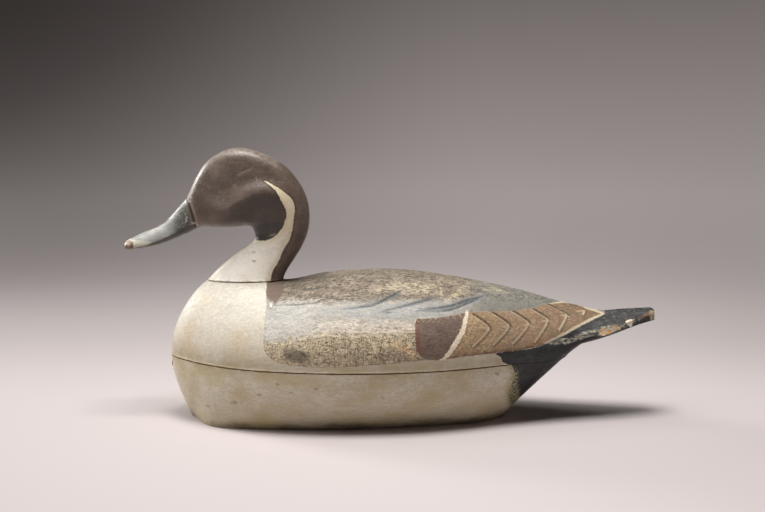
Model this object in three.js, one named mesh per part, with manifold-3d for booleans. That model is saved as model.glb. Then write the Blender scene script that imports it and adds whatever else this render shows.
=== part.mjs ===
// A hollow-style pintail drake decoy in three wooden pieces: the lower half of the body, the upper
// half with the tail, and the head with its neck and bill. Millimetres, +Z up. The bill points
// to -X, the tail to +X, and the flat underside stands on z = 0 with the part centred over the origin.
import * as THREE from 'three';
import { mergeVertices } from 'three/addons/utils/BufferGeometryUtils.js';
import Module from 'manifold-3d';

// Driving dimensions of the body
const BREAST_X = -184.8;
const TAIL_X = 222.5;
const BODY_LENGTH = TAIL_X - BREAST_X;
const SEAM_HEIGHT = 52.1;
const SEAM_GAP = 0.3;
const KEEL_END_X = 95.2;
const UNDERTAIL_SLOPE = Math.tan(THREE.MathUtils.degToRad(44.2));
const NARROWEST_FLAT = 1.2;

// Neck seat: where the head stands on the body
const SEAT_HEIGHT = 115.3;
const SEAT_FRONT_X = -153.3;
const SEAT_REAR_X = -89.9;
const NECK_HALF_WIDTH = 17.3;
const NECK_ROUNDNESS = 2.1;

// Carved feathers on each side, counted from the wing to the tail
const FEATHER_COUNT = 6;
const FIRST_FEATHER_TIP_X = 81;
const FEATHER_SPACING = 16.6;
const UPPER_ARM_REACH = 16;
const LOWER_ARM_REACH = 15;
const UPPER_ARM_RISE = 0.15;
const FIELD_LOWER_RISE = 0.07;
const CUT_HALF_WIDTH = 1.2;
const CUT_DEPTH = 0.9;

const BODY_STATIONS = 46;
const HEAD_STEPS_PER_RIB = 3;
const HEAD_RING_POINTS = 26;
const BROW_RISE = 0.24;

// Heights and half-widths along the body, each as [x, value] where the shape needs a point
const BACK_HEIGHT = [
  [-184.8, 54.5], [-181, 76.5], [-171.3, 96], [-153.3, 115.3], [-143, 119.4], [-121, 119],
  [-100, 116], [-86, 115.1], [-76, 116.6], [-59.2, 120.2], [-42.4, 122.2], [-17.2, 123.7],
  [16.4, 122.6], [66.8, 115.6], [117.3, 104.6], [151.2, 95], [161, 92.8], [168, 90.8],
  [175, 89.6], [192, 90.4], [212, 91.5], [219, 91.6], [222.5, 88.6],
];
const GIRTH = [
  [-184.8, 0], [-180.8, 13.5], [-175.8, 20.5], [-165.3, 32.5], [-147.6, 48.5], [-120.9, 64.9],
  [-88.1, 75.5], [-56.1, 80.7], [-30, 81.7], [0, 80], [31.1, 74.2], [62, 63.6], [92, 50], [126, 38.5],
  [153, 31], [173, 26], [190, 21.2], [207, 15.6], [216, 11.2], [222.5, 3],
];
const SIDE_LINE_HEIGHT = [
  [-184.8, 55.6], [-150, 56.8], [-60, 57.5], [0, 60.6], [60, 63], [105, 64], [126, 65.8],
  [153, 71.4], [190, 81], [207, 85.2], [216, 86.6], [222.5, 84.6],
];
const SIDE_BAND = [[-184.8, 2.4], [0, 3], [100, 3.6], [153, 5.2], [190, 5.8], [216, 5.6], [222.5, 3.2]];
const BACK_ROUNDNESS = [
  [-184.8, 2], [-170, 1.8], [-150, 1.58], [-135, 1.62], [-115, 1.75], [-90, 1.95], [-50, 2.05],
  [40, 2.05], [110, 1.8], [160, 1.5], [222.5, 1.4],
];
const BELLY_ROUNDNESS = [[-184.8, 2.1], [60, 2], [130, 1.7], [222.5, 1.6]];
const BREAST_KEEL = [[-184.8, 52], [-183.4, 37.4], [-179, 23.6], [-172.9, 9.7], [-168.2, 0], [-160, -14]];
const BASE_HALF_WIDTH = [
  [-170, 0], [-166.5, 9], [-162.4, 18], [-154.8, 34], [-147.6, 43.5], [-131, 50.5], [-100, 53],
  [-41.3, 52.4], [7.6, 46.1], [57.3, 35], [82.8, 22], [92.8, 9.5], [98, 4], [150, 5], [175, 15],
  [207, 9], [222.5, 2],
];
const UNDERTAIL_HEIGHT = [[150, 58.6], [177, 68.2], [202, 76.6], [216, 80], [222.5, 81.4]];

// Ribs of the head from the bill tip to the neck seat: the outer edge (crown, nape), the inner edge
// (chin, throat), the half-width, how far up the rib is widest, the roundness below and above, and how
// far the brow steps in above the cheek
const HEAD_RIBS = [
  { outer: [-222.2, 146.8], inner: [-222, 141.6], half: 4.8, widest: 0.5, below: 2, above: 2, step: 0 },
  { outer: [-219.4, 148.8], inner: [-218.8, 140.1], half: 8.4, widest: 0.4, below: 2.2, above: 2, step: 0 },
  { outer: [-211.5, 153.1], inner: [-210, 140.9], half: 10.6, widest: 0.35, below: 2.4, above: 2, step: 0 },
  { outer: [-198.9, 159.2], inner: [-196, 143.7], half: 10.6, widest: 0.3, below: 2.4, above: 1.9, step: 0 },
  { outer: [-186.2, 166.3], inner: [-182, 148.6], half: 9.9, widest: 0.3, below: 2.3, above: 1.8, step: 0 },
  { outer: [-177, 176.5], inner: [-171, 153.4], half: 10.2, widest: 0.32, below: 2.2, above: 1.8, step: 0 },
  { outer: [-170.2, 184.4], inner: [-163, 157.4], half: 11.6, widest: 0.36, below: 2.1, above: 2, step: 0 },
  { outer: [-164.6, 195.6], inner: [-156.5, 159.6], half: 15.4, widest: 0.38, below: 2, above: 2.7, step: 0.05 },
  { outer: [-154.4, 212.4], inner: [-148, 159.3], half: 19.6, widest: 0.3, below: 2, above: 3.5, step: 0.08 },
  { outer: [-140, 222.8], inner: [-138, 159.1], half: 22.4, widest: 0.27, below: 1.9, above: 4.2, step: 0.15 },
  { outer: [-124.5, 225.7], inner: [-129, 159.4], half: 23.6, widest: 0.34, below: 1.7, above: 4.4, step: 0.23 },
  { outer: [-107, 221.6], inner: [-121, 160.2], half: 23.4, widest: 0.45, below: 1.6, above: 4, step: 0.27 },
  { outer: [-90, 212.4], inner: [-116.2, 159.4], half: 21.8, widest: 0.56, below: 1.6, above: 3.2, step: 0.24 },
  { outer: [-77.2, 199.2], inner: [-114.4, 156.4], half: 20, widest: 0.6, below: 1.75, above: 2.5, step: 0.13 },
  { outer: [-69.6, 184.2], inner: [-113.3, 153], half: 17.8, widest: 0.57, below: 1.9, above: 2.1, step: 0.04 },
  { outer: [-67.2, 167], inner: [-114.4, 148.8], half: 15.6, widest: 0.52, below: 2, above: 2.1, step: 0 },
  { outer: [-70.4, 150.4], inner: [-121, 143.3], half: 14, widest: 0.5, below: 2, above: 2.1, step: 0 },
  { outer: [-77.8, 136.4], inner: [-131.6, 136], half: 13.4, widest: 0.5, below: 2.1, above: 2.1, step: 0 },
  { outer: [-86.2, 123.6], inner: [-144.2, 125.4], half: 14.8, widest: 0.5, below: 2.1, above: 2.1, step: 0 },
  { outer: [SEAT_REAR_X, SEAT_HEIGHT + SEAM_GAP], inner: [SEAT_FRONT_X, SEAT_HEIGHT + SEAM_GAP],
    half: NECK_HALF_WIDTH, widest: 0.5, below: NECK_ROUNDNESS, above: NECK_ROUNDNESS, step: 0 },
];

// A natural cubic spline through [x, value] points
function cubicThrough(points) {
  const n = points.length;
  const step = points.slice(1).map((p, i) => p[0] - points[i][0]);
  const slope = points.slice(1).map((p, i) => (p[1] - points[i][1]) / step[i]);
  const bend = new Array(n).fill(0);
  const factor = new Array(n).fill(0);
  for (let i = 1; i < n - 1; i++) {
    const pivot = 2 * (step[i - 1] + step[i]) - step[i - 1] * factor[i - 1];
    factor[i] = step[i] / pivot;
    bend[i] = (6 * (slope[i] - slope[i - 1]) - step[i - 1] * bend[i - 1]) / pivot;
  }
  for (let i = n - 2; i > 0; i--) bend[i] -= factor[i] * bend[i + 1];
  return (x) => {
    let i = 0;
    while (i < n - 2 && x > points[i + 1][0]) i++;
    const a = (points[i + 1][0] - x) / step[i];
    const b = 1 - a;
    const curve = ((a ** 3 - a) * bend[i] + (b ** 3 - b) * bend[i + 1]) * step[i] ** 2 / 6;
    return a * points[i][1] + b * points[i + 1][1] + curve;
  };
}

// Along the body the splines run over an angle, so both ends close as round as a hull
function bodyAngle(x) {
  const share = THREE.MathUtils.clamp((x - BREAST_X) / BODY_LENGTH, 0, 1);
  return Math.acos(1 - 2 * share);
}

function alongBody(points) {
  const curve = cubicThrough(points.map(([x, value]) => [bodyAngle(x), value]));
  return (x) => curve(bodyAngle(x));
}

const backHeight = alongBody(BACK_HEIGHT);
const girth = alongBody(GIRTH);
const sideLineHeight = alongBody(SIDE_LINE_HEIGHT);
const sideBand = alongBody(SIDE_BAND);
const backRoundness = alongBody(BACK_ROUNDNESS);
const bellyRoundness = alongBody(BELLY_ROUNDNESS);
const breastKeel = alongBody(BREAST_KEEL);
const baseHalfWidth = alongBody(BASE_HALF_WIDTH);
const undertailHeight = alongBody(UNDERTAIL_HEIGHT);

// Half-width of the neck seat at x, zero outside it
function seatHalfWidth(x) {
  const middle = (SEAT_FRONT_X + SEAT_REAR_X) / 2;
  const reach = Math.abs(x - middle) / (SEAT_REAR_X - middle);
  if (reach >= 1) return 0;
  return NECK_HALF_WIDTH * (1 - reach ** NECK_ROUNDNESS) ** (1 / NECK_ROUNDNESS);
}

function bellyHeight(x) {
  const undertail = Math.min((x - KEEL_END_X) * UNDERTAIL_SLOPE, undertailHeight(Math.max(x, 150)));
  return Math.max(0, x < -160 ? breastKeel(x) : 0, undertail);
}

// The cross-section of the whole body at x
function sectionAt(x) {
  const half = Math.max(girth(x), 1.5);
  const onSeat = seatHalfWidth(x) > 0;
  return {
    x,
    half,
    sideTop: sideLineHeight(x),
    sideLow: sideLineHeight(x) - sideBand(x),
    top: onSeat ? SEAT_HEIGHT : backHeight(x),
    topHalf: THREE.MathUtils.clamp(seatHalfWidth(x), NARROWEST_FLAT, half * 0.7),
    bottom: bellyHeight(x),
    bottomHalf: THREE.MathUtils.clamp(baseHalfWidth(x), NARROWEST_FLAT, half * 0.93),
    above: backRoundness(x),
    below: bellyRoundness(x),
  };
}

// Points of a rounded quarter from the side out to a flat of the half-width given, as [y, z]
function roundedQuarter(half, startZ, endHalf, endZ, roundness, steps, startStep = 0) {
  const share = endHalf / half;
  const depth = (endZ - startZ) / (1 - share ** roundness) ** (1 / roundness);
  const lastAngle = Math.acos(share ** (roundness / 2));
  const points = [];
  for (let i = startStep; i <= steps; i++) {
    const angle = lastAngle * i / steps;
    const y = half * Math.cos(angle) ** (2 / roundness);
    const z = startZ + depth * Math.sin(angle) ** (2 / roundness);
    points.push([y, z]);
  }
  return points;
}

// Half-width of the belly quarter at a height between the side and the bottom
function bellyWidthAt(section, z) {
  const share = section.bottomHalf / section.half;
  const depth = (section.sideLow - section.bottom) / (1 - share ** section.below) ** (1 / section.below);
  const down = (section.sideLow - z) / depth;
  return section.half * (1 - down ** section.below) ** (1 / section.below);
}

// A closed ring from one flank up over the section and down the other, the mirror of the first
function mirrored(x, flank) {
  const far = flank.map(([y, z]) => [x, y, z]);
  const near = flank.map(([y, z]) => [x, -y, z]).reverse();
  return [...far, ...near];
}

function upperRing(section) {
  const seam = SEAM_HEIGHT + SEAM_GAP / 2;
  const aboveSeam = section.bottom >= seam;
  const startZ = aboveSeam ? section.bottom : seam;
  const startHalf = aboveSeam ? section.bottomHalf : bellyWidthAt(section, seam);
  const low = roundedQuarter(section.half, section.sideLow, startHalf, startZ, section.below, 4);
  const high = roundedQuarter(
    section.half, section.sideTop, section.topHalf, section.top, section.above, 10);
  return mirrored(section.x, [...low.reverse(), ...high]);
}

function lowerRing(section) {
  const seam = SEAM_HEIGHT - SEAM_GAP / 2;
  const seamHalf = bellyWidthAt(section, seam);
  const share = section.bottomHalf / section.half;
  const depth = (section.sideLow - section.bottom) / (1 - share ** section.below) ** (1 / section.below);
  const firstAngle = Math.acos((seamHalf / section.half) ** (section.below / 2));
  const lastAngle = Math.acos(share ** (section.below / 2));
  const flank = [];
  for (let i = 0; i <= 8; i++) {
    const angle = THREE.MathUtils.lerp(lastAngle, firstAngle, i / 8);
    const y = section.half * Math.cos(angle) ** (2 / section.below);
    const z = section.sideLow - depth * Math.sin(angle) ** (2 / section.below);
    flank.push([y, z]);
  }
  return mirrored(section.x, flank);
}

// Body stations: closer at both ends, with one at each place where the shape turns
function bodyStations(fromX, toX, turns) {
  const stations = [fromX, toX, ...turns];
  for (let i = 1; i < BODY_STATIONS; i++) {
    const x = BREAST_X + BODY_LENGTH * (1 - Math.cos(Math.PI * i / BODY_STATIONS)) / 2;
    const free = stations.every((other) => Math.abs(other - x) > 1.2);
    if (x > fromX && x < toX && free) stations.push(x);
  }
  return stations.sort((a, b) => a - b);
}

// A closed solid through rings of equal length, with a fan over each end
function solidThrough(rings) {
  const count = rings[0].length;
  const middleOf = (ring) => [0, 1, 2].map((axis) => ring.reduce((sum, p) => sum + p[axis], 0) / count);
  const positions = [...rings.flat(), middleOf(rings[0]), middleOf(rings.at(-1))].flat();
  const startMiddle = rings.length * count;
  const index = [];
  for (let j = 0; j < count; j++) {
    const next = (j + 1) % count;
    for (let i = 0; i < rings.length - 1; i++) {
      const here = i * count;
      const after = here + count;
      index.push(here + j, here + next, after + next, here + j, after + next, after + j);
    }
    const last = (rings.length - 1) * count;
    index.push(startMiddle, next, j, startMiddle + 1, last + j, last + next);
  }
  const geometry = new THREE.BufferGeometry();
  geometry.setAttribute('position', new THREE.Float32BufferAttribute(positions, 3));
  geometry.setIndex(index);
  return geometry;
}

const seamStart = BREAST_X + 0.12;
const seamEnd = KEEL_END_X + (SEAM_HEIGHT - 1) / UNDERTAIL_SLOPE;
const keelRise = KEEL_END_X + (SEAM_HEIGHT + SEAM_GAP / 2) / UNDERTAIL_SLOPE;

function lowerBody() {
  const stations = bodyStations(seamStart, seamEnd, [-168.2, -165.5, -161, -156.5, 90, KEEL_END_X]);
  return solidThrough(stations.map((x) => lowerRing(sectionAt(x))));
}

function upperBody() {
  const seatEdge = 0.02;
  const turns = [SEAT_FRONT_X + seatEdge, SEAT_FRONT_X + 1.5, SEAT_REAR_X - 1.5, SEAT_REAR_X - seatEdge,
    keelRise, 157.5];
  const stations = bodyStations(seamStart, TAIL_X - 0.15, turns);
  return solidThrough(stations.map((x) => upperRing(sectionAt(x))));
}

// A point on the upper flank: x along the body, rise from 0 at the side line to 1 at the ridge
function flankPoint(x, rise, side) {
  const section = sectionAt(x);
  const angle = rise * Math.PI / 2;
  const y = section.half * Math.cos(angle) ** (2 / section.above);
  const height = section.top - section.sideTop;
  return new THREE.Vector3(x, side * y, section.sideTop + height * Math.sin(angle) ** (2 / section.above));
}

function flankNormal(x, rise, side) {
  const small = 0.01;
  const alongX = flankPoint(x + 1, rise, side).sub(flankPoint(x - 1, rise, side));
  const upward = flankPoint(x, rise + small, side).sub(flankPoint(x, rise - small, side));
  return upward.cross(alongX).multiplyScalar(side).normalize();
}

// The tip of a carved feather: the row climbs to the ridge as the body narrows to the tail
function featherTip(number) {
  const x = FIRST_FEATHER_TIP_X + number * FEATHER_SPACING;
  return { x, rise: 0.27 + 0.03 * number + 0.0028 * number ** 3 };
}

// The line of one feather edge from the side line over the tip to the back, as { x, rise }
function featherLine(number) {
  const tip = featherTip(number);
  const fromTail = FEATHER_COUNT - 1 - number;
  const upper = { reach: UPPER_ARM_REACH, rise: Math.min(tip.rise + UPPER_ARM_RISE, 0.95) };
  const lower = {
    reach: Math.min(LOWER_ARM_REACH, 3 + 5 * fromTail),
    rise: Math.max(FIELD_LOWER_RISE, (tip.x - 135) / 50),
  };
  const steps = 6;
  const line = [];
  for (let i = -steps; i <= steps; i++) {
    const arm = i < 0 ? lower : upper;
    const share = Math.abs(i) / steps;
    line.push({ x: tip.x - arm.reach * share ** 1.4, rise: THREE.MathUtils.lerp(tip.rise, arm.rise, share) });
  }
  return line;
}

// One carved feather edge: a V cut along its line, shallower at both ends
function featherCut(number, side) {
  const line = featherLine(number);
  const rings = line.map(({ x, rise }, i) => {
    const isEnd = i === 0 || i === line.length - 1;
    const depth = isEnd ? CUT_DEPTH * 0.35 : CUT_DEPTH;
    const onSurface = flankPoint(x, rise, side);
    const normal = flankNormal(x, rise, side);
    const across = new THREE.Vector3(1, 0, 0).addScaledVector(normal, -normal.x).normalize();
    const lip = onSurface.clone().addScaledVector(normal, CUT_DEPTH);
    const front = lip.clone().addScaledVector(across, -2 * CUT_HALF_WIDTH);
    const back = lip.clone().addScaledVector(across, 2 * CUT_HALF_WIDTH);
    const floor = onSurface.addScaledVector(normal, -depth);
    return [front, back, floor].map((point) => point.toArray());
  });
  if (side > 0) rings.reverse();
  return solidThrough(rings);
}

// Head ribs between the control ribs, as smooth as the body
function headRings() {
  const spline = (read) => cubicThrough(HEAD_RIBS.map((rib, i) => [i, read(rib)]));
  const outerX = spline((rib) => rib.outer[0]);
  const outerZ = spline((rib) => rib.outer[1]);
  const innerX = spline((rib) => rib.inner[0]);
  const innerZ = spline((rib) => rib.inner[1]);
  const half = spline((rib) => rib.half);
  const widest = spline((rib) => rib.widest);
  const below = spline((rib) => rib.below);
  const above = spline((rib) => rib.above);
  const step = spline((rib) => rib.step);
  const rings = [];
  const last = HEAD_RIBS.length - 1;
  for (let i = 0; i <= last * HEAD_STEPS_PER_RIB; i++) {
    const k = i / HEAD_STEPS_PER_RIB;
    const ribPoint = (across, along) => {
      const brow = THREE.MathUtils.smoothstep(along, widest(k), widest(k) + BROW_RISE);
      return [
        THREE.MathUtils.lerp(innerX(k), outerX(k), along),
        half(k) * across * (1 - Math.max(step(k), 0) * brow),
        THREE.MathUtils.lerp(innerZ(k), outerZ(k), along),
      ];
    };
    const ring = [];
    for (let j = 0; j < HEAD_RING_POINTS; j++) {
      const angle = 2 * Math.PI * (j + 0.5) / HEAD_RING_POINTS;
      const outward = Math.cos(angle) < 0;
      const power = 2 / (outward ? above(k) : below(k));
      const across = Math.sign(Math.sin(angle)) * Math.abs(Math.sin(angle)) ** power;
      const reach = Math.abs(Math.cos(angle)) ** power;
      const along = outward ? widest(k) + (1 - widest(k)) * reach : widest(k) * (1 - reach);
      ring.push(ribPoint(across, along));
    }
    rings.push(ring);
  }
  return rings;
}

const wasm = await Module();
wasm.setup();

function toManifold(geometry) {
  const merged = mergeVertices(geometry, 1e-4);
  return new wasm.Manifold(new wasm.Mesh({
    numProp: 3,
    vertProperties: new Float32Array(merged.attributes.position.array),
    triVerts: new Uint32Array(merged.index.array),
  }));
}

function fromManifold(solid) {
  const mesh = solid.getMesh();
  const geometry = new THREE.BufferGeometry();
  geometry.setAttribute('position', new THREE.BufferAttribute(mesh.vertProperties, 3));
  geometry.setIndex(new THREE.BufferAttribute(mesh.triVerts, 1));
  return geometry;
}

function carvedUpperBody() {
  let solid = toManifold(upperBody());
  for (let number = 0; number < FEATHER_COUNT; number++) {
    for (const side of [-1, 1]) {
      solid = solid.subtract(toManifold(featherCut(number, side)));
    }
  }
  return fromManifold(solid);
}

function paintedWood(color, roughness) {
  return new THREE.MeshStandardMaterial({ color, roughness, metalness: 0 });
}

function piece(name, geometry, material) {
  geometry.computeVertexNormals();
  const mesh = new THREE.Mesh(geometry, material);
  mesh.name = name;
  return mesh;
}

const decoy = new THREE.Group();
decoy.add(
  piece('body_lower', lowerBody(), paintedWood(0xb9b3a4, 0.7)),
  piece('body_upper', carvedUpperBody(), paintedWood(0x8d8474, 0.7)),
  piece('head', solidThrough(headRings()), paintedWood(0x4a4240, 0.6)),
);

export default decoy;
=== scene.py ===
# The looks of a carved pintail drake decoy: three wooden pieces under old, worn paint. Each piece is
# the smooth form that its CAD solid follows, with the finer carving cut in, and a paint job on top.
# Shapes are worked out in millimetres, as the solids are, and become metres in the meshes.
import math

import bpy
import numpy as np
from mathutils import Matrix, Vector


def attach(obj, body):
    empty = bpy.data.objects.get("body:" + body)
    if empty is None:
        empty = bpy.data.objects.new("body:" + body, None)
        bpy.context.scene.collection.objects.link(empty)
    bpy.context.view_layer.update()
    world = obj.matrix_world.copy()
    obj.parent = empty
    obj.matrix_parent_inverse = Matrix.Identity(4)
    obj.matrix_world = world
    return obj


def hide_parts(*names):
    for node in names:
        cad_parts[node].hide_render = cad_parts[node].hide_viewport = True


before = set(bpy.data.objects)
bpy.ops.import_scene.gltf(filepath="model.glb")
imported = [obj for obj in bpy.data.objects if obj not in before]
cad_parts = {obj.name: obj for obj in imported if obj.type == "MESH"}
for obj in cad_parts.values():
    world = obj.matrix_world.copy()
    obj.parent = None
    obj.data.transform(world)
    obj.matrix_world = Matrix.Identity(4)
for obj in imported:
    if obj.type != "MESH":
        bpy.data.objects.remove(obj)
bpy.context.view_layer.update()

MM = 0.001

# The camera stands where the photograph was taken from
IMAGE_WIDTH = 765
IMAGE_HEIGHT = 512
CAMERA_PLACE = (-6.7, -1188.3, 302.0)
CAMERA_PITCH = math.radians(8)
LENS = 67.39
SENSOR_WIDTH = 36.0
FOCAL_PIXELS = LENS / SENSOR_WIDTH * IMAGE_WIDTH

# Driving dimensions of the body, as the solids have them
BREAST_X = -184.8
TAIL_X = 222.5
BODY_LENGTH = TAIL_X - BREAST_X
SEAM_HEIGHT = 52.1
SEAM_GAP = 0.3
KEEL_END_X = 95.2
UNDERTAIL_SLOPE = math.tan(math.radians(44.2))
NARROWEST_FLAT = 1.2
NARROWEST_HALF = 1.5
WIDEST_SEAT_SHARE = 0.7
WIDEST_BASE_SHARE = 0.93
KEEL_START_X = -160
UNDERTAIL_START_X = 150
SEAT_HEIGHT = 115.3
SEAT_FRONT_X = -153.3
SEAT_REAR_X = -89.9
NECK_HALF_WIDTH = 17.3
NECK_ROUNDNESS = 2.1

BACK_HEIGHT = [
    (-184.8, 54.5), (-181, 76.5), (-171.3, 96), (-153.3, 115.3), (-143, 119.4), (-121, 119),
    (-100, 116), (-86, 115.1), (-76, 116.6), (-59.2, 120.2), (-42.4, 122.2), (-17.2, 123.7),
    (16.4, 122.6), (66.8, 115.6), (117.3, 104.6), (151.2, 95), (161, 92.8), (168, 90.8),
    (175, 89.6), (192, 90.4), (212, 91.5), (219, 91.6), (222.5, 88.6),
]
GIRTH = [
    (-184.8, 0), (-180.8, 13.5), (-175.8, 20.5), (-165.3, 32.5), (-147.6, 48.5), (-120.9, 64.9),
    (-88.1, 75.5), (-56.1, 80.7), (-30, 81.7), (0, 80), (31.1, 74.2), (62, 63.6), (92, 50),
    (126, 38.5), (153, 31), (173, 26), (190, 21.2), (207, 15.6), (216, 11.2), (222.5, 3),
]
SIDE_LINE_HEIGHT = [
    (-184.8, 55.6), (-150, 56.8), (-60, 57.5), (0, 60.6), (60, 63), (105, 64), (126, 65.8),
    (153, 71.4), (190, 81), (207, 85.2), (216, 86.6), (222.5, 84.6),
]
SIDE_BAND = [(-184.8, 2.4), (0, 3), (100, 3.6), (153, 5.2), (190, 5.8), (216, 5.6), (222.5, 3.2)]
BACK_ROUNDNESS = [
    (-184.8, 2), (-170, 1.8), (-150, 1.58), (-135, 1.62), (-115, 1.75), (-90, 1.95), (-50, 2.05),
    (40, 2.05), (110, 1.8), (160, 1.5), (222.5, 1.4),
]
BELLY_ROUNDNESS = [(-184.8, 2.1), (60, 2), (130, 1.7), (222.5, 1.6)]
BREAST_KEEL = [(-184.8, 52), (-183.4, 37.4), (-179, 23.6), (-172.9, 9.7), (-168.2, 0), (-160, -14)]
BASE_HALF_WIDTH = [
    (-170, 0), (-166.5, 9), (-162.4, 18), (-154.8, 34), (-147.6, 43.5), (-131, 50.5), (-100, 53),
    (-41.3, 52.4), (7.6, 46.1), (57.3, 35), (82.8, 22), (92.8, 9.5), (98, 4), (150, 5), (175, 15),
    (207, 9), (222.5, 2),
]
UNDERTAIL_HEIGHT = [(150, 58.6), (177, 68.2), (202, 76.6), (216, 80), (222.5, 81.4)]

# Ribs of the head from the bill tip to the neck seat: outer x and z, inner x and z, half-width, how far
# up the rib is widest, roundness below and above, and how far the brow steps in above the cheek
HEAD_RIBS = [
    (-222.2, 146.8, -222, 141.6, 4.8, 0.5, 2, 2, 0),
    (-219.4, 148.8, -218.8, 140.1, 8.4, 0.4, 2.2, 2, 0),
    (-211.5, 153.1, -210, 140.9, 10.6, 0.35, 2.4, 2, 0),
    (-198.9, 159.2, -196, 143.7, 10.6, 0.3, 2.4, 1.9, 0),
    (-186.2, 166.3, -182, 148.6, 9.9, 0.3, 2.3, 1.8, 0),
    (-177, 176.5, -171, 153.4, 10.2, 0.32, 2.2, 1.8, 0),
    (-170.2, 184.4, -163, 157.4, 11.6, 0.36, 2.1, 2, 0),
    (-164.6, 195.6, -156.5, 159.6, 15.4, 0.38, 2, 2.7, 0.05),
    (-154.4, 212.4, -148, 159.3, 19.6, 0.3, 2, 3.5, 0.08),
    (-140, 222.8, -138, 159.1, 22.4, 0.27, 1.9, 4.2, 0.15),
    (-124.5, 225.7, -129, 159.4, 23.6, 0.34, 1.7, 4.4, 0.23),
    (-107, 221.6, -121, 160.2, 23.4, 0.45, 1.6, 4, 0.27),
    (-90, 212.4, -116.2, 159.4, 21.8, 0.56, 1.6, 3.2, 0.24),
    (-77.2, 199.2, -114.4, 156.4, 20, 0.6, 1.75, 2.5, 0.13),
    (-69.6, 184.2, -113.3, 153, 17.8, 0.57, 1.9, 2.1, 0.04),
    (-67.2, 167, -114.4, 148.8, 15.6, 0.52, 2, 2.1, 0),
    (-70.4, 150.4, -121, 143.3, 14, 0.5, 2, 2.1, 0),
    (-77.8, 136.4, -131.6, 136, 13.4, 0.5, 2.1, 2.1, 0),
    (-86.2, 123.6, -144.2, 125.4, 14.8, 0.5, 2.1, 2.1, 0),
    (SEAT_REAR_X, SEAT_HEIGHT + SEAM_GAP, SEAT_FRONT_X, SEAT_HEIGHT + SEAM_GAP, NECK_HALF_WIDTH,
     0.5, NECK_ROUNDNESS, NECK_ROUNDNESS, 0),
]
BROW_RISE = 0.24

# Carved feathers on each side, counted from the wing to the tail
FEATHER_COUNT = 6
FIRST_FEATHER_TIP_X = 81
FEATHER_SPACING = 16.6
UPPER_ARM_REACH = 16
LOWER_ARM_REACH = 15
UPPER_ARM_RISE = 0.15
FIELD_LOWER_RISE = 0.07
FEATHER_CUT_WIDTH = 1.3
FEATHER_CUT_DEPTH = 0.75
FEATHER_STEP_DEPTH = 0.45
FEATHER_STEP_REACH = 9.0
FEATHER_REACH = 14
FEATHER_END_FADE = (0.3, 2.5)
FEATHER_ARM_FADE = 0.55
ARM_BEND = 1.4
FIRST_TIP_RISE = 0.27
TIP_RISE_STEP = 0.03
TIP_RISE_SWEEP = 0.0028
REAR_ARM_REACH = 3
REAR_ARM_REACH_STEP = 5
FIELD_RISE_START_X = 135
FIELD_RISE_LENGTH = 50
HIGHEST_ARM_END = 0.95

# Stands for a distance too great to matter
FAR = 99.0

# How deep the knife marks are under painted strokes and chips, and how soft their edges in pixels
CHIP_DEPTH = 0.7
CHIP_EDGE = (-0.8, 0.8)
STROKE_GROOVE_DEPTH = 0.35
STROKE_GROOVE_EDGE = (-0.8, 0.6)
BILL_GROOVE_DEPTH = 0.9
BILL_GROOVE_EDGE = (-0.7, 0.5)
BILL_GROOVE_TOP_DOWN = (194, 199)
EYE_LINE_DEPTH = 0.45
EYE_LINE_EDGE = (-0.8, 0.5)
CHEEK_MARK_DEPTH = 0.2
CHEEK_MARK_EDGE = (-0.6, 0.4)

# The bill's rounded tip: its last rib, and how narrow and how low the very end is
BILL_TIP_RIB = 0.34
BILL_TIP_WIDTH = 0.35
BILL_TIP_HEIGHT = 0.45
BILL_TIP_PLACES = [0, 0.02, 0.06, 0.12, 0.2, 0.3]

# How fine the meshes are: the distance from one station to the next, and the columns round a flank
MIDDLE_SPACING = 1.35
FEATHER_SPACING_FINE = 0.95
FEATHERED_X = (56, 186)
END_SPACING = 0.12
CLOSEST_SPACING = 0.08
END_CROWDING = 0.22
FIRST_STATION_X = BREAST_X + 0.12
LAST_STATION_X = TAIL_X - 0.15
SHOULDER_ROWS = 13
BAND_ROWS = 5
NECK_OUTLINE_POINTS = 240
UPPER_ARC_COLUMNS = 88
BELLY_ARC_COLUMNS = 62
HEAD_STEPS_PER_RIB = 16
HEAD_RING_POINTS = 176

# Open joints between the pieces: how wide the worn edge beside each is, and how deep
SEAM_EDGE_WIDTH = 0.3
SEAM_EDGE_DEPTH = 0.15

# The lower body ends where the undertail cut has come up to this far below the joint
LOWER_END_BELOW_SEAM = 0.4

# Edges sharper than this stay crisp
SHARP_ANGLE = math.radians(55)

# Where the hand-worked surface fades out, in millimetres: beside the joints, over the planed base and
# at the bill tip
JOINT_EDGE = (0, 2)
BASE_EDGE = (0.2, 3)
SMOOTH_TIP_X = (-221, -214)

# The box round the neck seat in which the distance to it is worked out
NECK_SURROUND = 12
NECK_SEARCH_WIDTH = 32
NECK_SEARCH_HEIGHT = 95

# Painted outlines, in pixels of the 765 x 512 photograph of the near side; the far side mirrors them.
# An area is a closed line of (across, down) points. A stroke's points also have a half-width.
BLACK_TAIL = [
    (604, 300), (604, 312.5), (590, 320), (575, 328), (560, 336.5), (545, 344.5), (530, 349), (497, 353),
    (501, 357), (503, 362.5), (512, 366), (514.5, 372), (513.5, 380), (511, 388), (509, 395),
    (510, 401.5), (512, 403), (516, 404), (530, 404), (720, 404), (720, 280), (604, 280),
]
BREAST_STAINS = [
    [(240, 334, 3), (238, 344, 5), (241, 356, 3)],
    [(188, 326, 3), (187, 336, 5), (189, 350, 3)],
]

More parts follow.
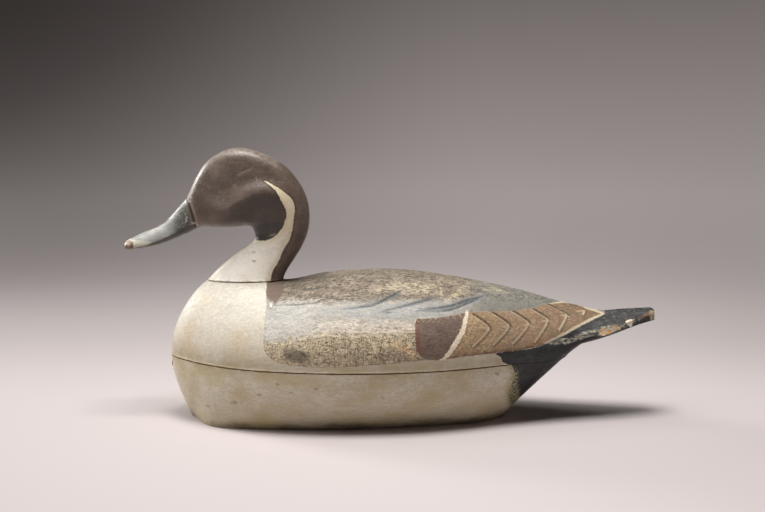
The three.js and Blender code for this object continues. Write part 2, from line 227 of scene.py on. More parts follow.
# The upper half of the body: back, side, flank, wing, feathers and tail
UPPER_AREAS = {
    "grey_back": [
        (267, 200), (267, 283), (266, 305), (265, 320), (263.5, 335), (264, 348), (268, 356), (277, 362),
        (290, 365), (310, 367), (330, 367.5), (360, 366), (390, 364), (416, 361), (440, 359), (470, 356),
        (498, 353), (640, 353), (640, 200),
    ],
    "neck_patch": [
        (267, 268), (267, 283), (266, 294), (270, 299), (274, 304), (276.5, 302), (279.5, 298),
        (283, 290), (284.5, 283), (292, 268),
    ],
    "flank": [
        (255, 344), (268, 342), (284, 340), (300, 337.5), (316, 335), (340, 333.5), (370, 333),
        (400, 332.5), (425, 333), (425, 375), (255, 375),
    ],
    "blue_band": [
        (318, 307), (345, 305), (372, 304), (390, 303), (410, 303), (432, 301), (452, 300), (484, 294),
        (482, 299), (468, 307), (450, 314), (425, 317), (400, 318), (370, 318), (345, 316), (322, 313),
    ],
    "smudge": [(284, 351), (293, 349), (304, 352), (308, 358), (300, 362), (290, 361), (284, 357)],
    "flank_brown": [
        (378, 353), (388, 347), (402, 345), (412, 349), (416, 354), (417, 363), (398, 364), (380, 362),
    ],
    "neck_root_shadow_and_dirt": [
        (281, 268), (283.5, 278), (290, 283), (302, 282.4), (316, 279.5), (327, 276), (324, 268),
    ],
    "wing_panel": [
        (416, 320), (415.5, 340), (417, 352), (424, 358.5), (432, 360), (441, 359.5), (449, 354),
        (456, 344), (463, 330), (467, 313), (455, 315), (440, 317), (425, 318.5),
    ],
    "panel_wear": [(396, 341), (406, 343), (412, 349), (416.5, 357), (408, 358), (402, 352), (393, 347)],
    "feather_field": [
        (467, 313), (500, 311), (530, 308), (550, 303), (565, 301.5), (577, 303), (590, 308), (604, 313),
        (590, 319.5), (575, 327.5), (560, 336), (545, 344), (530, 348.5), (498, 353), (470, 356),
        (443, 359.5), (449, 354), (456, 344), (463, 330),
    ],
    "tail_wear": [
        (547, 343.6), (562, 338.5), (572, 337), (585, 331), (598, 328.5), (602, 326.5), (610, 325.4),
        (622, 323.5), (632, 320), (640, 317), (648, 311.5), (652, 312), (644, 318), (632, 323.5),
        (620, 330), (607, 335.5), (592, 336), (580, 340), (566, 344),
    ],
    "bare_wood": [
        (599.5, 331.5), (605, 328.4), (611, 328), (618, 325.8), (619.5, 328.6), (614, 332), (605, 335.4),
        (600.5, 334.6),
    ],
    "tail_chip": [(626, 320.5), (632, 318.8), (632.8, 322), (632, 327), (629, 325.6), (626.8, 323)],
    "tail_end": [(649.5, 311), (652, 309.8), (657, 312), (657, 320), (653, 322.5), (650.5, 318)],
    "black_tail": BLACK_TAIL,
}
UPPER_STROKES = {
    "curl": [
        [(268.5, 301, 0.3), (270.4, 304, 0.9), (268.4, 308, 0.5)],
        [(271.6, 300.4, 0.2), (273, 303, 0.7), (271.4, 306.4, 0.3)],
    ],
    "blue_strokes": [
        [(342, 309, 0.4), (360, 306.6, 1.3), (376, 303, 2.2), (390, 296.5, 2), (403, 289.4, 0.5)],
        [(380, 311, 0.4), (398, 307, 1.5), (414, 303, 1.9), (428, 299.4, 1.4), (438, 295, 0.5)],
        [(416, 310.5, 0.6), (436, 309, 2.2), (452, 306.6, 3.2), (466, 301.5, 2.8), (486, 294.5, 0.8)],
    ],
    "dark_strokes": [
        [
            (340, 308.4, 0.2), (358, 307, 0.6), (373, 304.6, 0.8), (386, 298, 1.2), (396, 292.8, 1),
            (403, 289, 0.3),
        ],
        [
            (378, 312, 0.2), (391, 308.6, 0.7), (404, 305.4, 0.8), (416, 302.4, 0.9), (428, 299, 0.7),
            (437, 295.6, 0.3),
        ],
        [(383, 312.8, 0.3), (388, 312.4, 0.9), (393.5, 312, 0.3)],
        [(418, 308.2, 0.2), (438, 307.2, 0.9), (455, 304.3, 1.2), (467, 299.8, 1.2), (484, 295.5, 0.3)],
        [(436, 312, 0.3), (452, 309, 0.9), (466, 303.5, 1), (479, 298.3, 0.3)],
        [(268, 305, 0.2), (285, 304.4, 0.6), (302, 303.6, 0.7), (318, 301.4, 0.7), (333, 296, 0.3)],
        [(310, 331, 0.2), (314, 328.6, 0.7), (318.5, 326.8, 0.2)],
        [(350, 291, 0.2), (357, 289.6, 0.7), (367, 286.2, 0.2)],
        [(298, 288.6, 0.2), (308, 288.2, 0.5), (320, 287.8, 0.2)],
    ],
    "pale_dabs": [
        [(376, 290, 2), (395, 286, 4), (420, 287, 6), (440, 291, 4)],
        [(447, 301, 1.5), (455, 295, 3), (466, 287, 3), (470, 284, 1.5)],
        [(484, 289, 0.6), (496, 289, 1.6), (508, 291, 0.6)],
    ],
    "shoulder_highlight": [
        [(322, 331.8, 0.4), (345, 331.2, 1.2), (372, 330.6, 1.4), (400, 331, 1.1), (415, 332, 0.4)],
    ],
    "flank_edge": [
        [(300, 352.6, 0.3), (304, 355.8, 1.1), (307.5, 359.4, 0.5)],
        [(343.6, 359, 0.3), (346.6, 355.6, 0.9), (350.4, 352, 0.3)],
        [(318, 349, 0.2), (325, 343.6, 0.7), (333, 338, 0.2)],
        [(327, 350, 0.2), (333, 345, 0.6), (340, 339.6, 0.2)],
    ],
    "panel_edge": [[(417, 321, 1.6), (417.5, 340, 2.4), (420, 353, 2.2)]],
    "cream_bar": [[(467.5, 311, 1.6), (463, 330, 2.3), (455, 345, 2.5), (447, 356, 2), (441, 360, 0.8)]],
    "quills": [
        [(477, 327, 0.3), (484, 327.3, 0.8), (489, 327.5, 0.5)],
        [(500, 326, 0.3), (506, 326.6, 0.8), (511, 327, 0.5)],
        [(521, 325, 0.3), (528, 325, 0.8), (533, 325, 0.5)],
        [(541, 321, 0.3), (546, 320.5, 0.8), (550, 320.5, 0.5)],
        [(560, 314.6, 0.3), (565, 315.4, 0.8), (569.5, 316, 0.5)],
        [(576, 311, 0.3), (581, 310.6, 0.8), (585, 310.8, 0.5)],
    ],
    "field_border": [
        [(550, 303, 0.4), (565, 301.5, 0.9), (577, 303, 1), (590, 308, 1.2), (602, 312.6, 1)],
        [(604, 313, 0.9), (590, 319.5, 1.2), (575, 327.5, 1.2), (560, 336, 1.3), (545, 343.5, 0.8)],
    ],
    "tail_streak": [[(636, 319.4, 0.5), (643, 316.4, 1.4), (648.4, 313, 1.8), (651.6, 310.6, 1.1)]],
    "stains": BREAST_STAINS,
}

# The lower half of the body: the rump, where the black runs out mottled and yellowed, and the belly
LOWER_AREAS = {"black_tail": BLACK_TAIL}
LOWER_STROKES = {
    "rump_fade": [[(503, 360, 2), (514, 371, 3), (513, 384, 5), (513, 398, 7), (520, 404, 6)]],
    "specks": [
        [(257.6, 395, 1), (259.6, 395, 1.4)],
        [(229, 403.4, 0.5), (235, 402.4, 1.5), (238, 402.6, 0.5)],
        [(206.6, 405.6, 1.2), (208, 406.4, 1.2)],
        [(277, 384, 1.2), (278.4, 384.6, 1)],
        [(315, 389, 1), (317.4, 389.4, 1)],
        [(496.4, 373.6, 1.4), (498.4, 374.4, 1.2)],
        [(288, 393.6, 0.5), (292, 392.6, 1)],
        [(382, 398, 1), (384, 398.6, 0.8)],
    ],
    "stains": BREAST_STAINS,
}

# The head: crown, cheek, throat, white neck stripe and bill
HEAD_AREAS = {
    "crown": [
        (203, 158), (214, 156.4), (235, 155), (255, 156), (268, 158.6), (277, 163), (284, 140),
        (240, 130), (203, 135),
    ],
    # Where the lower cheek is painted in shade, as the head turns under
    "cheek_shade": [
        (222, 224), (232, 210), (245, 200), (262, 193), (275, 192), (284, 200), (286, 212), (284, 224),
        (275, 228), (252, 226),
    ],
    "neck_white": [
        (263, 180), (270, 183), (280, 189), (288, 195), (293, 201), (295, 208), (294, 218), (292.5, 230),
        (289, 241), (283, 251), (279, 261), (273, 271), (271, 280), (271, 290), (190, 290), (190, 262),
        (232, 240.8), (251.5, 240), (254, 235), (257, 240), (266, 240.5), (274, 237), (281, 230),
        (284.5, 223), (286.5, 216), (286, 210), (281, 200), (276, 191), (270, 185.5),
    ],
    "throat_black": [
        (251, 226), (253, 231), (254.5, 237), (257, 240), (266, 240.5), (274, 237), (281, 229),
        (284, 222),
    ],
    "bill": [
        (100, 190), (178, 188), (185.5, 198), (187, 207), (188.5, 215), (191, 222), (195, 229.5),
        (180, 250), (100, 262),
    ],
    "bill_bare": [(124, 242.5), (127.5, 239.4), (131, 240.6), (133, 244), (132.4, 250), (125.4, 250)],
    "bill_cream": [
        (129, 239), (134, 239.6), (141, 241), (151, 242.4), (146, 246), (138, 247.4), (133, 248),
        (133, 243),
    ],
}
HEAD_STROKES = {
    "throat_chip": [[(269, 235.6, 0.3), (272.5, 235.2, 1), (276, 233.6, 0.3)]],
    "throat_crease_shade": [[(251.6, 227, 0.8), (252.8, 232, 0.9), (254.6, 237, 0.9), (257, 240, 0.5)]],
    "neck_marks": [
        [(251.5, 259, 0.2), (253.6, 261.4, 0.8), (256.2, 260.6, 0.3)],
        [(251, 253.6, 0.2), (253.6, 251.6, 0.5), (256, 252.8, 0.2)],
    ],
    "neck_edge_stain_and_shade": [[(204, 279, 6), (216, 265, 8), (232, 251, 7), (250, 240, 5)]],
    "bill_band": [[(188.6, 196, 1.1), (191.6, 206, 1.4), (194.6, 215, 1.4), (198, 227, 1.1)]],
    "forehead_wear_and_highlight": [
        [(170, 218, 0.3), (176, 210, 0.9), (182, 202, 1.3), (187.6, 195.6, 1.3)],
        [(189.6, 196, 0.8), (193, 185, 1.3), (200, 171, 1.5), (207, 161, 1.3), (214, 154.6, 0.6)],
    ],
    "bill_edge_shade": [
        [(136, 233.6, 1), (148, 228.4, 1.9), (160, 223.6, 1.8), (168, 219.6, 0.8)],
        [
            (130, 248, 1.8), (145, 246.3, 1.7), (160, 242.5, 2.2), (172, 237.5, 2.6), (184, 231.5, 3.2),
            (196, 227.5, 3.4),
        ],
    ],
    "bill_tip_wear_and_highlight": [[(125.4, 242.4, 0.3), (127.6, 240, 0.9), (130, 239, 0.5)]],
    "bill_flecks": [
        [(186.6, 216.8, 0.8), (186.2, 220, 0.9), (185.6, 223, 0.4)],
        [(191, 222.6, 0.4), (195, 224, 1), (198, 226, 0.3)],
    ],
}

# Knife lines on the head: the groove behind the bill, the eye line and the scores on the cheek
BILL_GAP = [[(186.4, 198, 0.5), (189, 207, 0.9), (192, 216, 1), (195.6, 226.5, 0.8)]]
EYE_LINE = [[(234, 178, 0.2), (240, 173.6, 0.8), (247, 170.3, 0.8), (253, 168, 0.2)]]
CHEEK_MARKS = [
    [(255.5, 176, 0.3), (256.8, 179, 0.7), (259, 181.4, 0.3)],
    [(219, 196, 0.2), (224, 200.4, 0.7), (230, 205.4, 0.2)],
    [(229, 190, 0.2), (234, 186, 0.7), (240, 179.8, 0.2)],
]


# Curves and sections

def cubic_through(points):
    """A natural cubic spline through (x, value) points, as a function of an array."""
    knots, values = np.array(points, float).T
    count = len(knots)
    step = np.diff(knots)
    slope = np.diff(values) / step
    matrix = np.eye(count)
    target = np.zeros(count)
    for i in range(1, count - 1):
        matrix[i, i - 1:i + 2] = step[i - 1], 2 * (step[i - 1] + step[i]), step[i]
        target[i] = 6 * (slope[i] - slope[i - 1])
    bend = np.linalg.solve(matrix, target)

    def curve(x):
        x = np.asarray(x, float)
        i = np.clip(np.searchsorted(knots, x, side="right") - 1, 0, count - 2)
        a = (knots[i + 1] - x) / step[i]
        b = 1 - a
        curved = ((a**3 - a) * bend[i] + (b**3 - b) * bend[i + 1]) * step[i] ** 2 / 6
        return a * values[i] + b * values[i + 1] + curved

    return curve


def body_angle(x):
    """Along the body the splines run over an angle, so both ends close as round as a hull."""
    return np.arccos(1 - 2 * np.clip((np.asarray(x, float) - BREAST_X) / BODY_LENGTH, 0, 1))


def along_body(points):
    curve = cubic_through([(float(body_angle(x)), value) for x, value in points])
    return lambda x: curve(body_angle(x))


def smoothstep(x, low, high):
    share = np.clip((x - low) / (high - low), 0, 1)
    return share * share * (3 - 2 * share)


back_height = along_body(BACK_HEIGHT)
girth = along_body(GIRTH)
side_line_height = along_body(SIDE_LINE_HEIGHT)
side_band = along_body(SIDE_BAND)
back_roundness = along_body(BACK_ROUNDNESS)
belly_roundness = along_body(BELLY_ROUNDNESS)
breast_keel = along_body(BREAST_KEEL)
base_half_width = along_body(BASE_HALF_WIDTH)
undertail_height = along_body(UNDERTAIL_HEIGHT)


def seat_half_width(x):
    """Half-width of the neck seat at x, zero outside it."""
    middle = (SEAT_FRONT_X + SEAT_REAR_X) / 2
    reach = np.clip(np.abs(x - middle) / (SEAT_REAR_X - middle), 0, 1)
    return NECK_HALF_WIDTH * (1 - reach**NECK_ROUNDNESS) ** (1 / NECK_ROUNDNESS)


def belly_height(x):
    """Height of the underside at x: the keel of the breast, the planed base, then the undertail cut."""
    tail_underside = undertail_height(np.maximum(x, UNDERTAIL_START_X))
    cut = np.minimum((x - KEEL_END_X) * UNDERTAIL_SLOPE, tail_underside)
    keel = np.where(x < KEEL_START_X, breast_keel(x), 0)
    return np.maximum(0, np.maximum(keel, cut))


class Sections:
    """The cross-sections of the whole body at the stations x, one row each."""

    def __init__(self, x):
        x = np.asarray(x, float).reshape(-1, 1)
        seat = seat_half_width(x)
        self.x = x
        self.half = np.maximum(girth(x), NARROWEST_HALF)
        self.side_top = side_line_height(x)
        self.side_low = self.side_top - side_band(x)
        self.top = np.where(seat > 0, SEAT_HEIGHT, back_height(x))
        self.top_half = np.clip(seat, NARROWEST_FLAT, self.half * WIDEST_SEAT_SHARE)
        self.bottom = belly_height(x)
        self.bottom_half = np.clip(base_half_width(x), NARROWEST_FLAT, self.half * WIDEST_BASE_SHARE)
        self.above = back_roundness(x)
        self.below = belly_roundness(x)
        share = self.bottom_half / self.half
        self.belly_depth = (self.side_low - self.bottom) / (1 - share**self.below) ** (1 / self.below)

    def belly_width_at(self, z):
        down = (self.side_low - z) / self.belly_depth
        return self.half * (1 - down**self.below) ** (1 / self.below)


def even_angles(half, depth, roundness, first, last, columns):
    """Angles of a rounded quarter, one row a section, that give points evenly spaced along it."""
    fine = np.linspace(0, 1, 400)
    rows = []
    for i in range(len(half)):
        angle = first[i] + (last[i] - first[i]) * fine
        y = half[i] * np.cos(angle) ** (2 / roundness[i])
        z = depth[i] * np.sin(angle) ** (2 / roundness[i])
        length = np.concatenate([[0], np.cumsum(np.hypot(np.diff(y), np.diff(z)))])
        rows.append(np.interp(np.linspace(0, length[-1], columns), length, angle))
    return np.array(rows)


def stations(start, end, spacing):
    """Places along the body from start to end, as far apart as spacing(x) says."""
    places = [start]
    while places[-1] < end:
        places.append(places[-1] + spacing(places[-1]))
    places = np.array(places)
    return start + (places - start) * (end - start) / (places[-1] - start)


def close_up(flank_y, flank_z, x):
    """A closed ring at each station: the far flank from below to above, then its mirror image back down.
    The first and last columns lie on the middle line, so the near side leaves them out."""
    y = np.concatenate([flank_y, -flank_y[:, -2:0:-1]], axis=1)
    z = np.concatenate([flank_z, flank_z[:, -2:0:-1]], axis=1)
    return np.stack([np.broadcast_to(x, y.shape), y, z], axis=-1)


def mirror_columns(values):
    """Values that belong to the far flank's columns, given to the near flank's too."""
    return np.concatenate([values, values[:, -2:0:-1]], axis=1)


def grid_normals(grid):
    """Outward unit normals of a closed grid of rings."""
    around = np.roll(grid, -1, axis=1) - np.roll(grid, 1, axis=1)
    along = np.gradient(grid, axis=0)
    normal = np.cross(around, along)
    return normal / np.maximum(np.linalg.norm(normal, axis=-1, keepdims=True), 1e-9)


# What the photograph's view of a point is, and how far that lies from what is painted there

def drawing_place(points):
    """Pixels of the photograph at which points of the near side show; the far side is mirrored."""
    offset = points * [1, 0, 1] - np.abs(points * [0, 1, 0]) - np.array(CAMERA_PLACE)
    forward = np.array([0, math.cos(CAMERA_PITCH), -math.sin(CAMERA_PITCH)])
    upward = np.array([0, math.sin(CAMERA_PITCH), math.cos(CAMERA_PITCH)])
    depth = offset @ forward
    across = IMAGE_WIDTH / 2 + FOCAL_PIXELS * offset[..., 0] / depth
    down = IMAGE_HEIGHT / 2 - FOCAL_PIXELS * (offset @ upward) / depth
    return np.stack([across, down], axis=-1)


def rounded(points, closed, steps=4):
    """The points with a smooth curve drawn through them."""
    points = np.array(points, float)
    if closed:
        padded = np.concatenate([points[-1:], points, points[:2]])
    else:
        padded = np.concatenate([points[:1], points, points[-1:]])
    share = (np.arange(steps) / steps)[:, None]
    curve = []
    for i in range(len(padded) - 3):
        a, b, c, d = padded[i:i + 4]
        bend = (c - a) * share + (2 * a - 5 * b + 4 * c - d) * share**2 + (3 * b - a - 3 * c + d) * share**3
        curve.append(b + bend / 2)
    if not closed:
        curve.append(points[-1:])
    return np.concatenate(curve)


def segment_distance(place, start, end):
    """Distance from places to one segment, and how far along it the nearest point is."""
    way = end - start
    share = np.clip(((place - start) @ way) / max(way @ way, 1e-9), 0, 1)
    return np.linalg.norm(place - start - share[..., None] * way, axis=-1), share


def inside_area(place, outline):
    """How far inside a closed outline each place is, in pixels; outside it the value is negative."""
    corners = rounded(outline, closed=True)
    nearest = np.full(place.shape[:-1], 1e9)
    inside = np.zeros(place.shape[:-1], bool)
    for start, end in zip(corners, np.roll(corners, -1, axis=0)):
        nearest = np.minimum(nearest, segment_distance(place, start, end)[0])
        spans = (start[1] > place[..., 1]) != (end[1] > place[..., 1])
        rise = end[1] - start[1]
        crossing = start[0] + (place[..., 1] - start[1]) * (end[0] - start[0]) / (rise if rise else 1e-9)
        inside ^= spans & (place[..., 0] < crossing)
    return np.where(inside, nearest, -nearest)


def inside_stroke(place, stroke):
    """How far inside a brush stroke of (x, y, half-width) points each place is, in pixels."""
    line = rounded(stroke, closed=False)
    best = np.full(place.shape[:-1], -1e9)
    for start, end in zip(line[:-1], line[1:]):
        distance, share = segment_distance(place, start[:2], end[:2])
        width = start[2] + (end[2] - start[2]) * share
        best = np.maximum(best, width - distance)
    return best


def inside_strokes(place, strokes):
    return np.max([inside_stroke(place, stroke) for stroke in strokes], axis=0)


def drawn_fields(place, areas, strokes):
    """How far inside each painted area and brush stroke the places are, by the name of its field."""
    fields = {name: inside_area(place, outline) for name, outline in areas.items()}
    for name, lines in strokes.items():
        fields[name] = inside_strokes(place, lines)
    return fields


# Meshes

def closed_mesh(name, grid):
    """A mesh through a closed grid of rings, with a fan over each end. The grid is in millimetres."""
    rings, count = grid.shape[:2]
    middles = np.array([grid[0].mean(axis=0), grid[-1].mean(axis=0)])
    points = np.concatenate([grid.reshape(-1, 3), middles]) * MM
    here = (np.arange(rings - 1)[:, None] * count + np.arange(count)).ravel()
    beside = (np.arange(rings - 1)[:, None] * count + (np.arange(count) + 1) % count).ravel()
    quads = np.stack([here, beside, beside + count, here + count], axis=1).tolist()
    column = np.arange(count)
    after = (column + 1) % count
    last = (rings - 1) * count
    start_fan = np.stack([np.full(count, rings * count), after, column], axis=1).tolist()
    end_fan = np.stack([np.full(count, rings * count + 1), last + column, last + after], axis=1).tolist()
    mesh = bpy.data.meshes.new(name)
    mesh.from_pydata(points.tolist(), [], quads + start_fan + end_fan)
    mesh.update()
    return mesh


def add_fields(mesh, fields):
    """Each named field becomes an attribute of the mesh's points; the two fan middles copy their ends."""
    for name, values in fields.items():
        flat = np.concatenate([values.ravel(), [values[0].mean(), values[-1].mean()]])
        attribute = mesh.attributes.new(name, "FLOAT", "POINT")
        attribute.data.foreach_set("value", flat.astype(np.float32))


# Carving: how far the knife went below the smooth form, in millimetres

def feather_tip(number):
    rise = FIRST_TIP_RISE + TIP_RISE_STEP * number + TIP_RISE_SWEEP * number**3
    return FIRST_FEATHER_TIP_X + number * FEATHER_SPACING, rise


def feather_line(number, steps=40):
    """One feather's edge from the side line over its tip to the back: x, rise, and the arm from -1 to 1."""
    tip_x, tip_rise = feather_tip(number)
    from_tail = FEATHER_COUNT - 1 - number
    arm = np.linspace(-1, 1, 2 * steps + 1)
    lower_reach = min(LOWER_ARM_REACH, REAR_ARM_REACH + REAR_ARM_REACH_STEP * from_tail)
    reach = np.where(arm < 0, lower_reach, UPPER_ARM_REACH)
    lower_rise = max(FIELD_LOWER_RISE, (tip_x - FIELD_RISE_START_X) / FIELD_RISE_LENGTH)
    upper_rise = min(tip_rise + UPPER_ARM_RISE, HIGHEST_ARM_END)
    end_rise = np.where(arm < 0, lower_rise, upper_rise)
    share = np.abs(arm)
    return tip_x - reach * share**ARM_BEND, tip_rise + (end_rise - tip_rise) * share, arm


def flank_point(x, rise):
    """Points of the far upper flank: rise is 0 at the side line and 1 at the ridge."""
    section = Sections(x)
    columns = (section.half, section.side_top, section.top, section.above)
    half, side, top, roundness = (column[:, 0] for column in columns)
    angle = rise * math.pi / 2
    y = half * np.cos(angle) ** (2 / roundness)
    return np.stack([x, y, side + (top - side) * np.sin(angle) ** (2 / roundness)], axis=-1)


def feather_fields(grid, rise):
    """For each point, the signed distance to the nearest feather edge in millimetres, positive towards
    the tail, which arm of the edge it is on, and how deep the feathers are cut there."""
    shape = grid.shape[:2]
    points = grid.reshape(-1, 3) * [1, 0, 1] + np.abs(grid.reshape(-1, 3) * [0, 1, 0])
    rises = rise.ravel()
    edge = np.full(len(points), FAR)
    arms = np.zeros(len(points))
    cut = np.zeros(len(points))
    for number in range(FEATHER_COUNT):
        line_x, line_rise, arm = feather_line(number)
        line = flank_point(line_x, line_rise)
        first_x = line_x.min() - FEATHER_REACH
        last_x = line_x.max() + FEATHER_REACH
        beside = (points[:, 0] > first_x) & (points[:, 0] < last_x)
        near = np.flatnonzero(beside & (rises >= 0))
        distance = np.linalg.norm(points[near, None] - line[None], axis=-1)
        nearest = distance.argmin(axis=1)
        distance = distance.min(axis=1)
        edge_x = np.interp(rises[near], line_rise, line_x)
        signed = np.where(points[near, 0] > edge_x, distance, -distance)
        beyond_end = np.abs(arm[nearest]) > 0.999
        end_fade = 1 - smoothstep(distance, *FEATHER_END_FADE)
        fade = np.where(beyond_end, end_fade, 1 - FEATHER_ARM_FADE * np.abs(arm[nearest]) ** 4)
        groove = FEATHER_CUT_DEPTH * np.clip(1 - np.abs(signed) / FEATHER_CUT_WIDTH, 0, 1)
        ledge = smoothstep(signed, -0.4, 0.6) * (1 - smoothstep(signed, 0.5, FEATHER_STEP_REACH))
        ledge = FEATHER_STEP_DEPTH * ledge
        cut[near] = np.maximum(cut[near], (groove + ledge) * fade)
        closer = (distance < np.abs(edge[near])) & ~(beyond_end & (distance > 1.0))
        edge[near[closer]] = signed[closer]
        arms[near[closer]] = arm[nearest][closer]
    return edge.reshape(shape), arms.reshape(shape), cut.reshape(shape)


def worn_edge(distance):
    """How far the edge beside an open joint is worn back."""
    return SEAM_EDGE_DEPTH * np.clip(1 - distance / SEAM_EDGE_WIDTH, 0, 1) ** 1.5


def carve(grid, cut, guard):
    """The grid with each point moved in along its normal by the cut, except on guarded flat faces."""
    return grid - grid_normals(grid) * (cut * guard)[..., None]


# The Geometry Nodes tree that gives a piece its hand-worked surface, always inwards from the smooth form

def link_math(tree, operation, first, second):
    node = tree.nodes.new("ShaderNodeMath")
    node.operation = operation
    for socket, value in zip(node.inputs, (first, second)):
        if isinstance(value, bpy.types.NodeSocket):
            tree.links.new(value, socket)
        else:
            socket.default_value = value
    return node.outputs[0]


def tree_with_sockets():
    """An empty tree with its named inputs and its output."""
    tree = bpy.data.node_groups.new("hand_worked_surface", "GeometryNodeTree")
    tree.interface.new_socket("Geometry", in_out="INPUT", socket_type="NodeSocketGeometry")
    for name in ("Hollow Width", "Hollow Depth", "Stroke Width", "Stroke Length", "Stroke Depth",
                 "Dab Width", "Dab Depth", "Seed"):
        tree.interface.new_socket(name, in_out="INPUT", socket_type="NodeSocketFloat")
    tree.interface.new_socket("Paint", in_out="INPUT", socket_type="NodeSocketMaterial")
    tree.interface.new_socket("Geometry", in_out="OUTPUT", socket_type="NodeSocketGeometry")
    return tree


def mesh_field(tree, name):
    node = tree.nodes.new("GeometryNodeInputNamedAttribute")
    node.data_type = "FLOAT"
    node.inputs["Name"].default_value = name
    return node.outputs["Attribute"]


def unevenness(tree, enter, place, width, length, depth, seed_step):
    """Soft noise as wide, long and deep as the tree's inputs of these names say."""
    stretch = tree.nodes.new("ShaderNodeCombineXYZ")
    for axis, size in (("X", length), ("Y", width), ("Z", width)):
        tree.links.new(link_math(tree, "DIVIDE", 1.0, enter[size]), stretch.inputs[axis])
    scaled = tree.nodes.new("ShaderNodeVectorMath")
    scaled.operation = "MULTIPLY"
    tree.links.new(place, scaled.inputs[0])
    tree.links.new(stretch.outputs[0], scaled.inputs[1])
    noise = tree.nodes.new("ShaderNodeTexNoise")
    noise.noise_dimensions = "4D"
    noise.inputs["Scale"].default_value = 1
    noise.inputs["Detail"].default_value = 1.5
    tree.links.new(scaled.outputs[0], noise.inputs["Vector"])
    tree.links.new(link_math(tree, "ADD", enter["Seed"], seed_step), noise.inputs["W"])
    return link_math(tree, "MULTIPLY", noise.outputs[0], enter[depth])


def worked_surface_tree():
    tree = tree_with_sockets()
    enter = tree.nodes.new("NodeGroupInput").outputs
    leave = tree.nodes.new("NodeGroupOutput")
    place = tree.nodes.new("GeometryNodeInputPosition").outputs[0]
    normal = tree.nodes.new("GeometryNodeInputNormal").outputs[0]

    hollows = unevenness(tree, enter, place, "Hollow Width", "Hollow Width", "Hollow Depth", 0.0)
    strokes = unevenness(tree, enter, place, "Stroke Width", "Stroke Length", "Stroke Depth", 7.0)
    dabs = unevenness(tree, enter, place, "Dab Width", "Dab Width", "Dab Depth", 13.0)
    dabs = link_math(tree, "MULTIPLY", dabs, mesh_field(tree, "dabbed"))
    relief = link_math(tree, "ADD", link_math(tree, "ADD", hollows, strokes), dabs)
    depth = link_math(tree, "MULTIPLY", relief, mesh_field(tree, "guard"))
    offset = tree.nodes.new("ShaderNodeVectorMath")
    offset.operation = "SCALE"
    tree.links.new(normal, offset.inputs[0])
    tree.links.new(link_math(tree, "MULTIPLY", depth, -1.0), offset.inputs["Scale"])

    moved = tree.nodes.new("GeometryNodeSetPosition")
    tree.links.new(enter["Geometry"], moved.inputs["Geometry"])
    tree.links.new(offset.outputs[0], moved.inputs["Offset"])
    realized = tree.nodes.new("GeometryNodeRealizeInstances")
    tree.links.new(moved.outputs[0], realized.inputs[0])
    painted = tree.nodes.new("GeometryNodeSetMaterial")
    tree.links.new(realized.outputs[0], painted.inputs["Geometry"])
    tree.links.new(enter["Paint"], painted.inputs["Material"])
    tree.links.new(painted.outputs[0], leave.inputs[0])
    return tree


def finished_piece(name, mesh, tree, paint, sizes):
    """The mesh as an object with its surface worked over, as a plain mesh with no modifier left."""
    piece = bpy.data.objects.new(name, mesh)
    bpy.context.scene.collection.objects.link(piece)
    modifier = piece.modifiers.new("surface", "NODES")
    modifier.node_group = tree
    values = {**sizes, "Paint": paint}
    for item in tree.interface.items_tree:
        if item.in_out == "INPUT" and item.name in values:
            modifier[item.identifier] = values[item.name]
    evaluated = piece.evaluated_get(bpy.context.evaluated_depsgraph_get())
    plain = bpy.data.meshes.new_from_object(evaluated)
    piece.modifiers.remove(modifier)
    piece.data = plain
    plain.name = name
    bpy.data.meshes.remove(mesh)
    plain.shade_smooth()
    plain.set_sharp_from_angle(angle=SHARP_ANGLE)
    return piece


# Paint

PAINT_SPECULAR = 0.42
PAPER_SPECULAR = 0.15
PAPER_ROUGHNESS = 0.9


def colour(red, green, blue):
    """A colour as it looks on a screen, 0 to 255, in the linear values that the shader takes."""
    channels = np.array([red, green, blue]) / 255
    linear = np.where(channels <= 0.04045, channels / 12.92, ((channels + 0.055) / 1.055) ** 2.4)
    return (*linear.tolist(), 1.0)


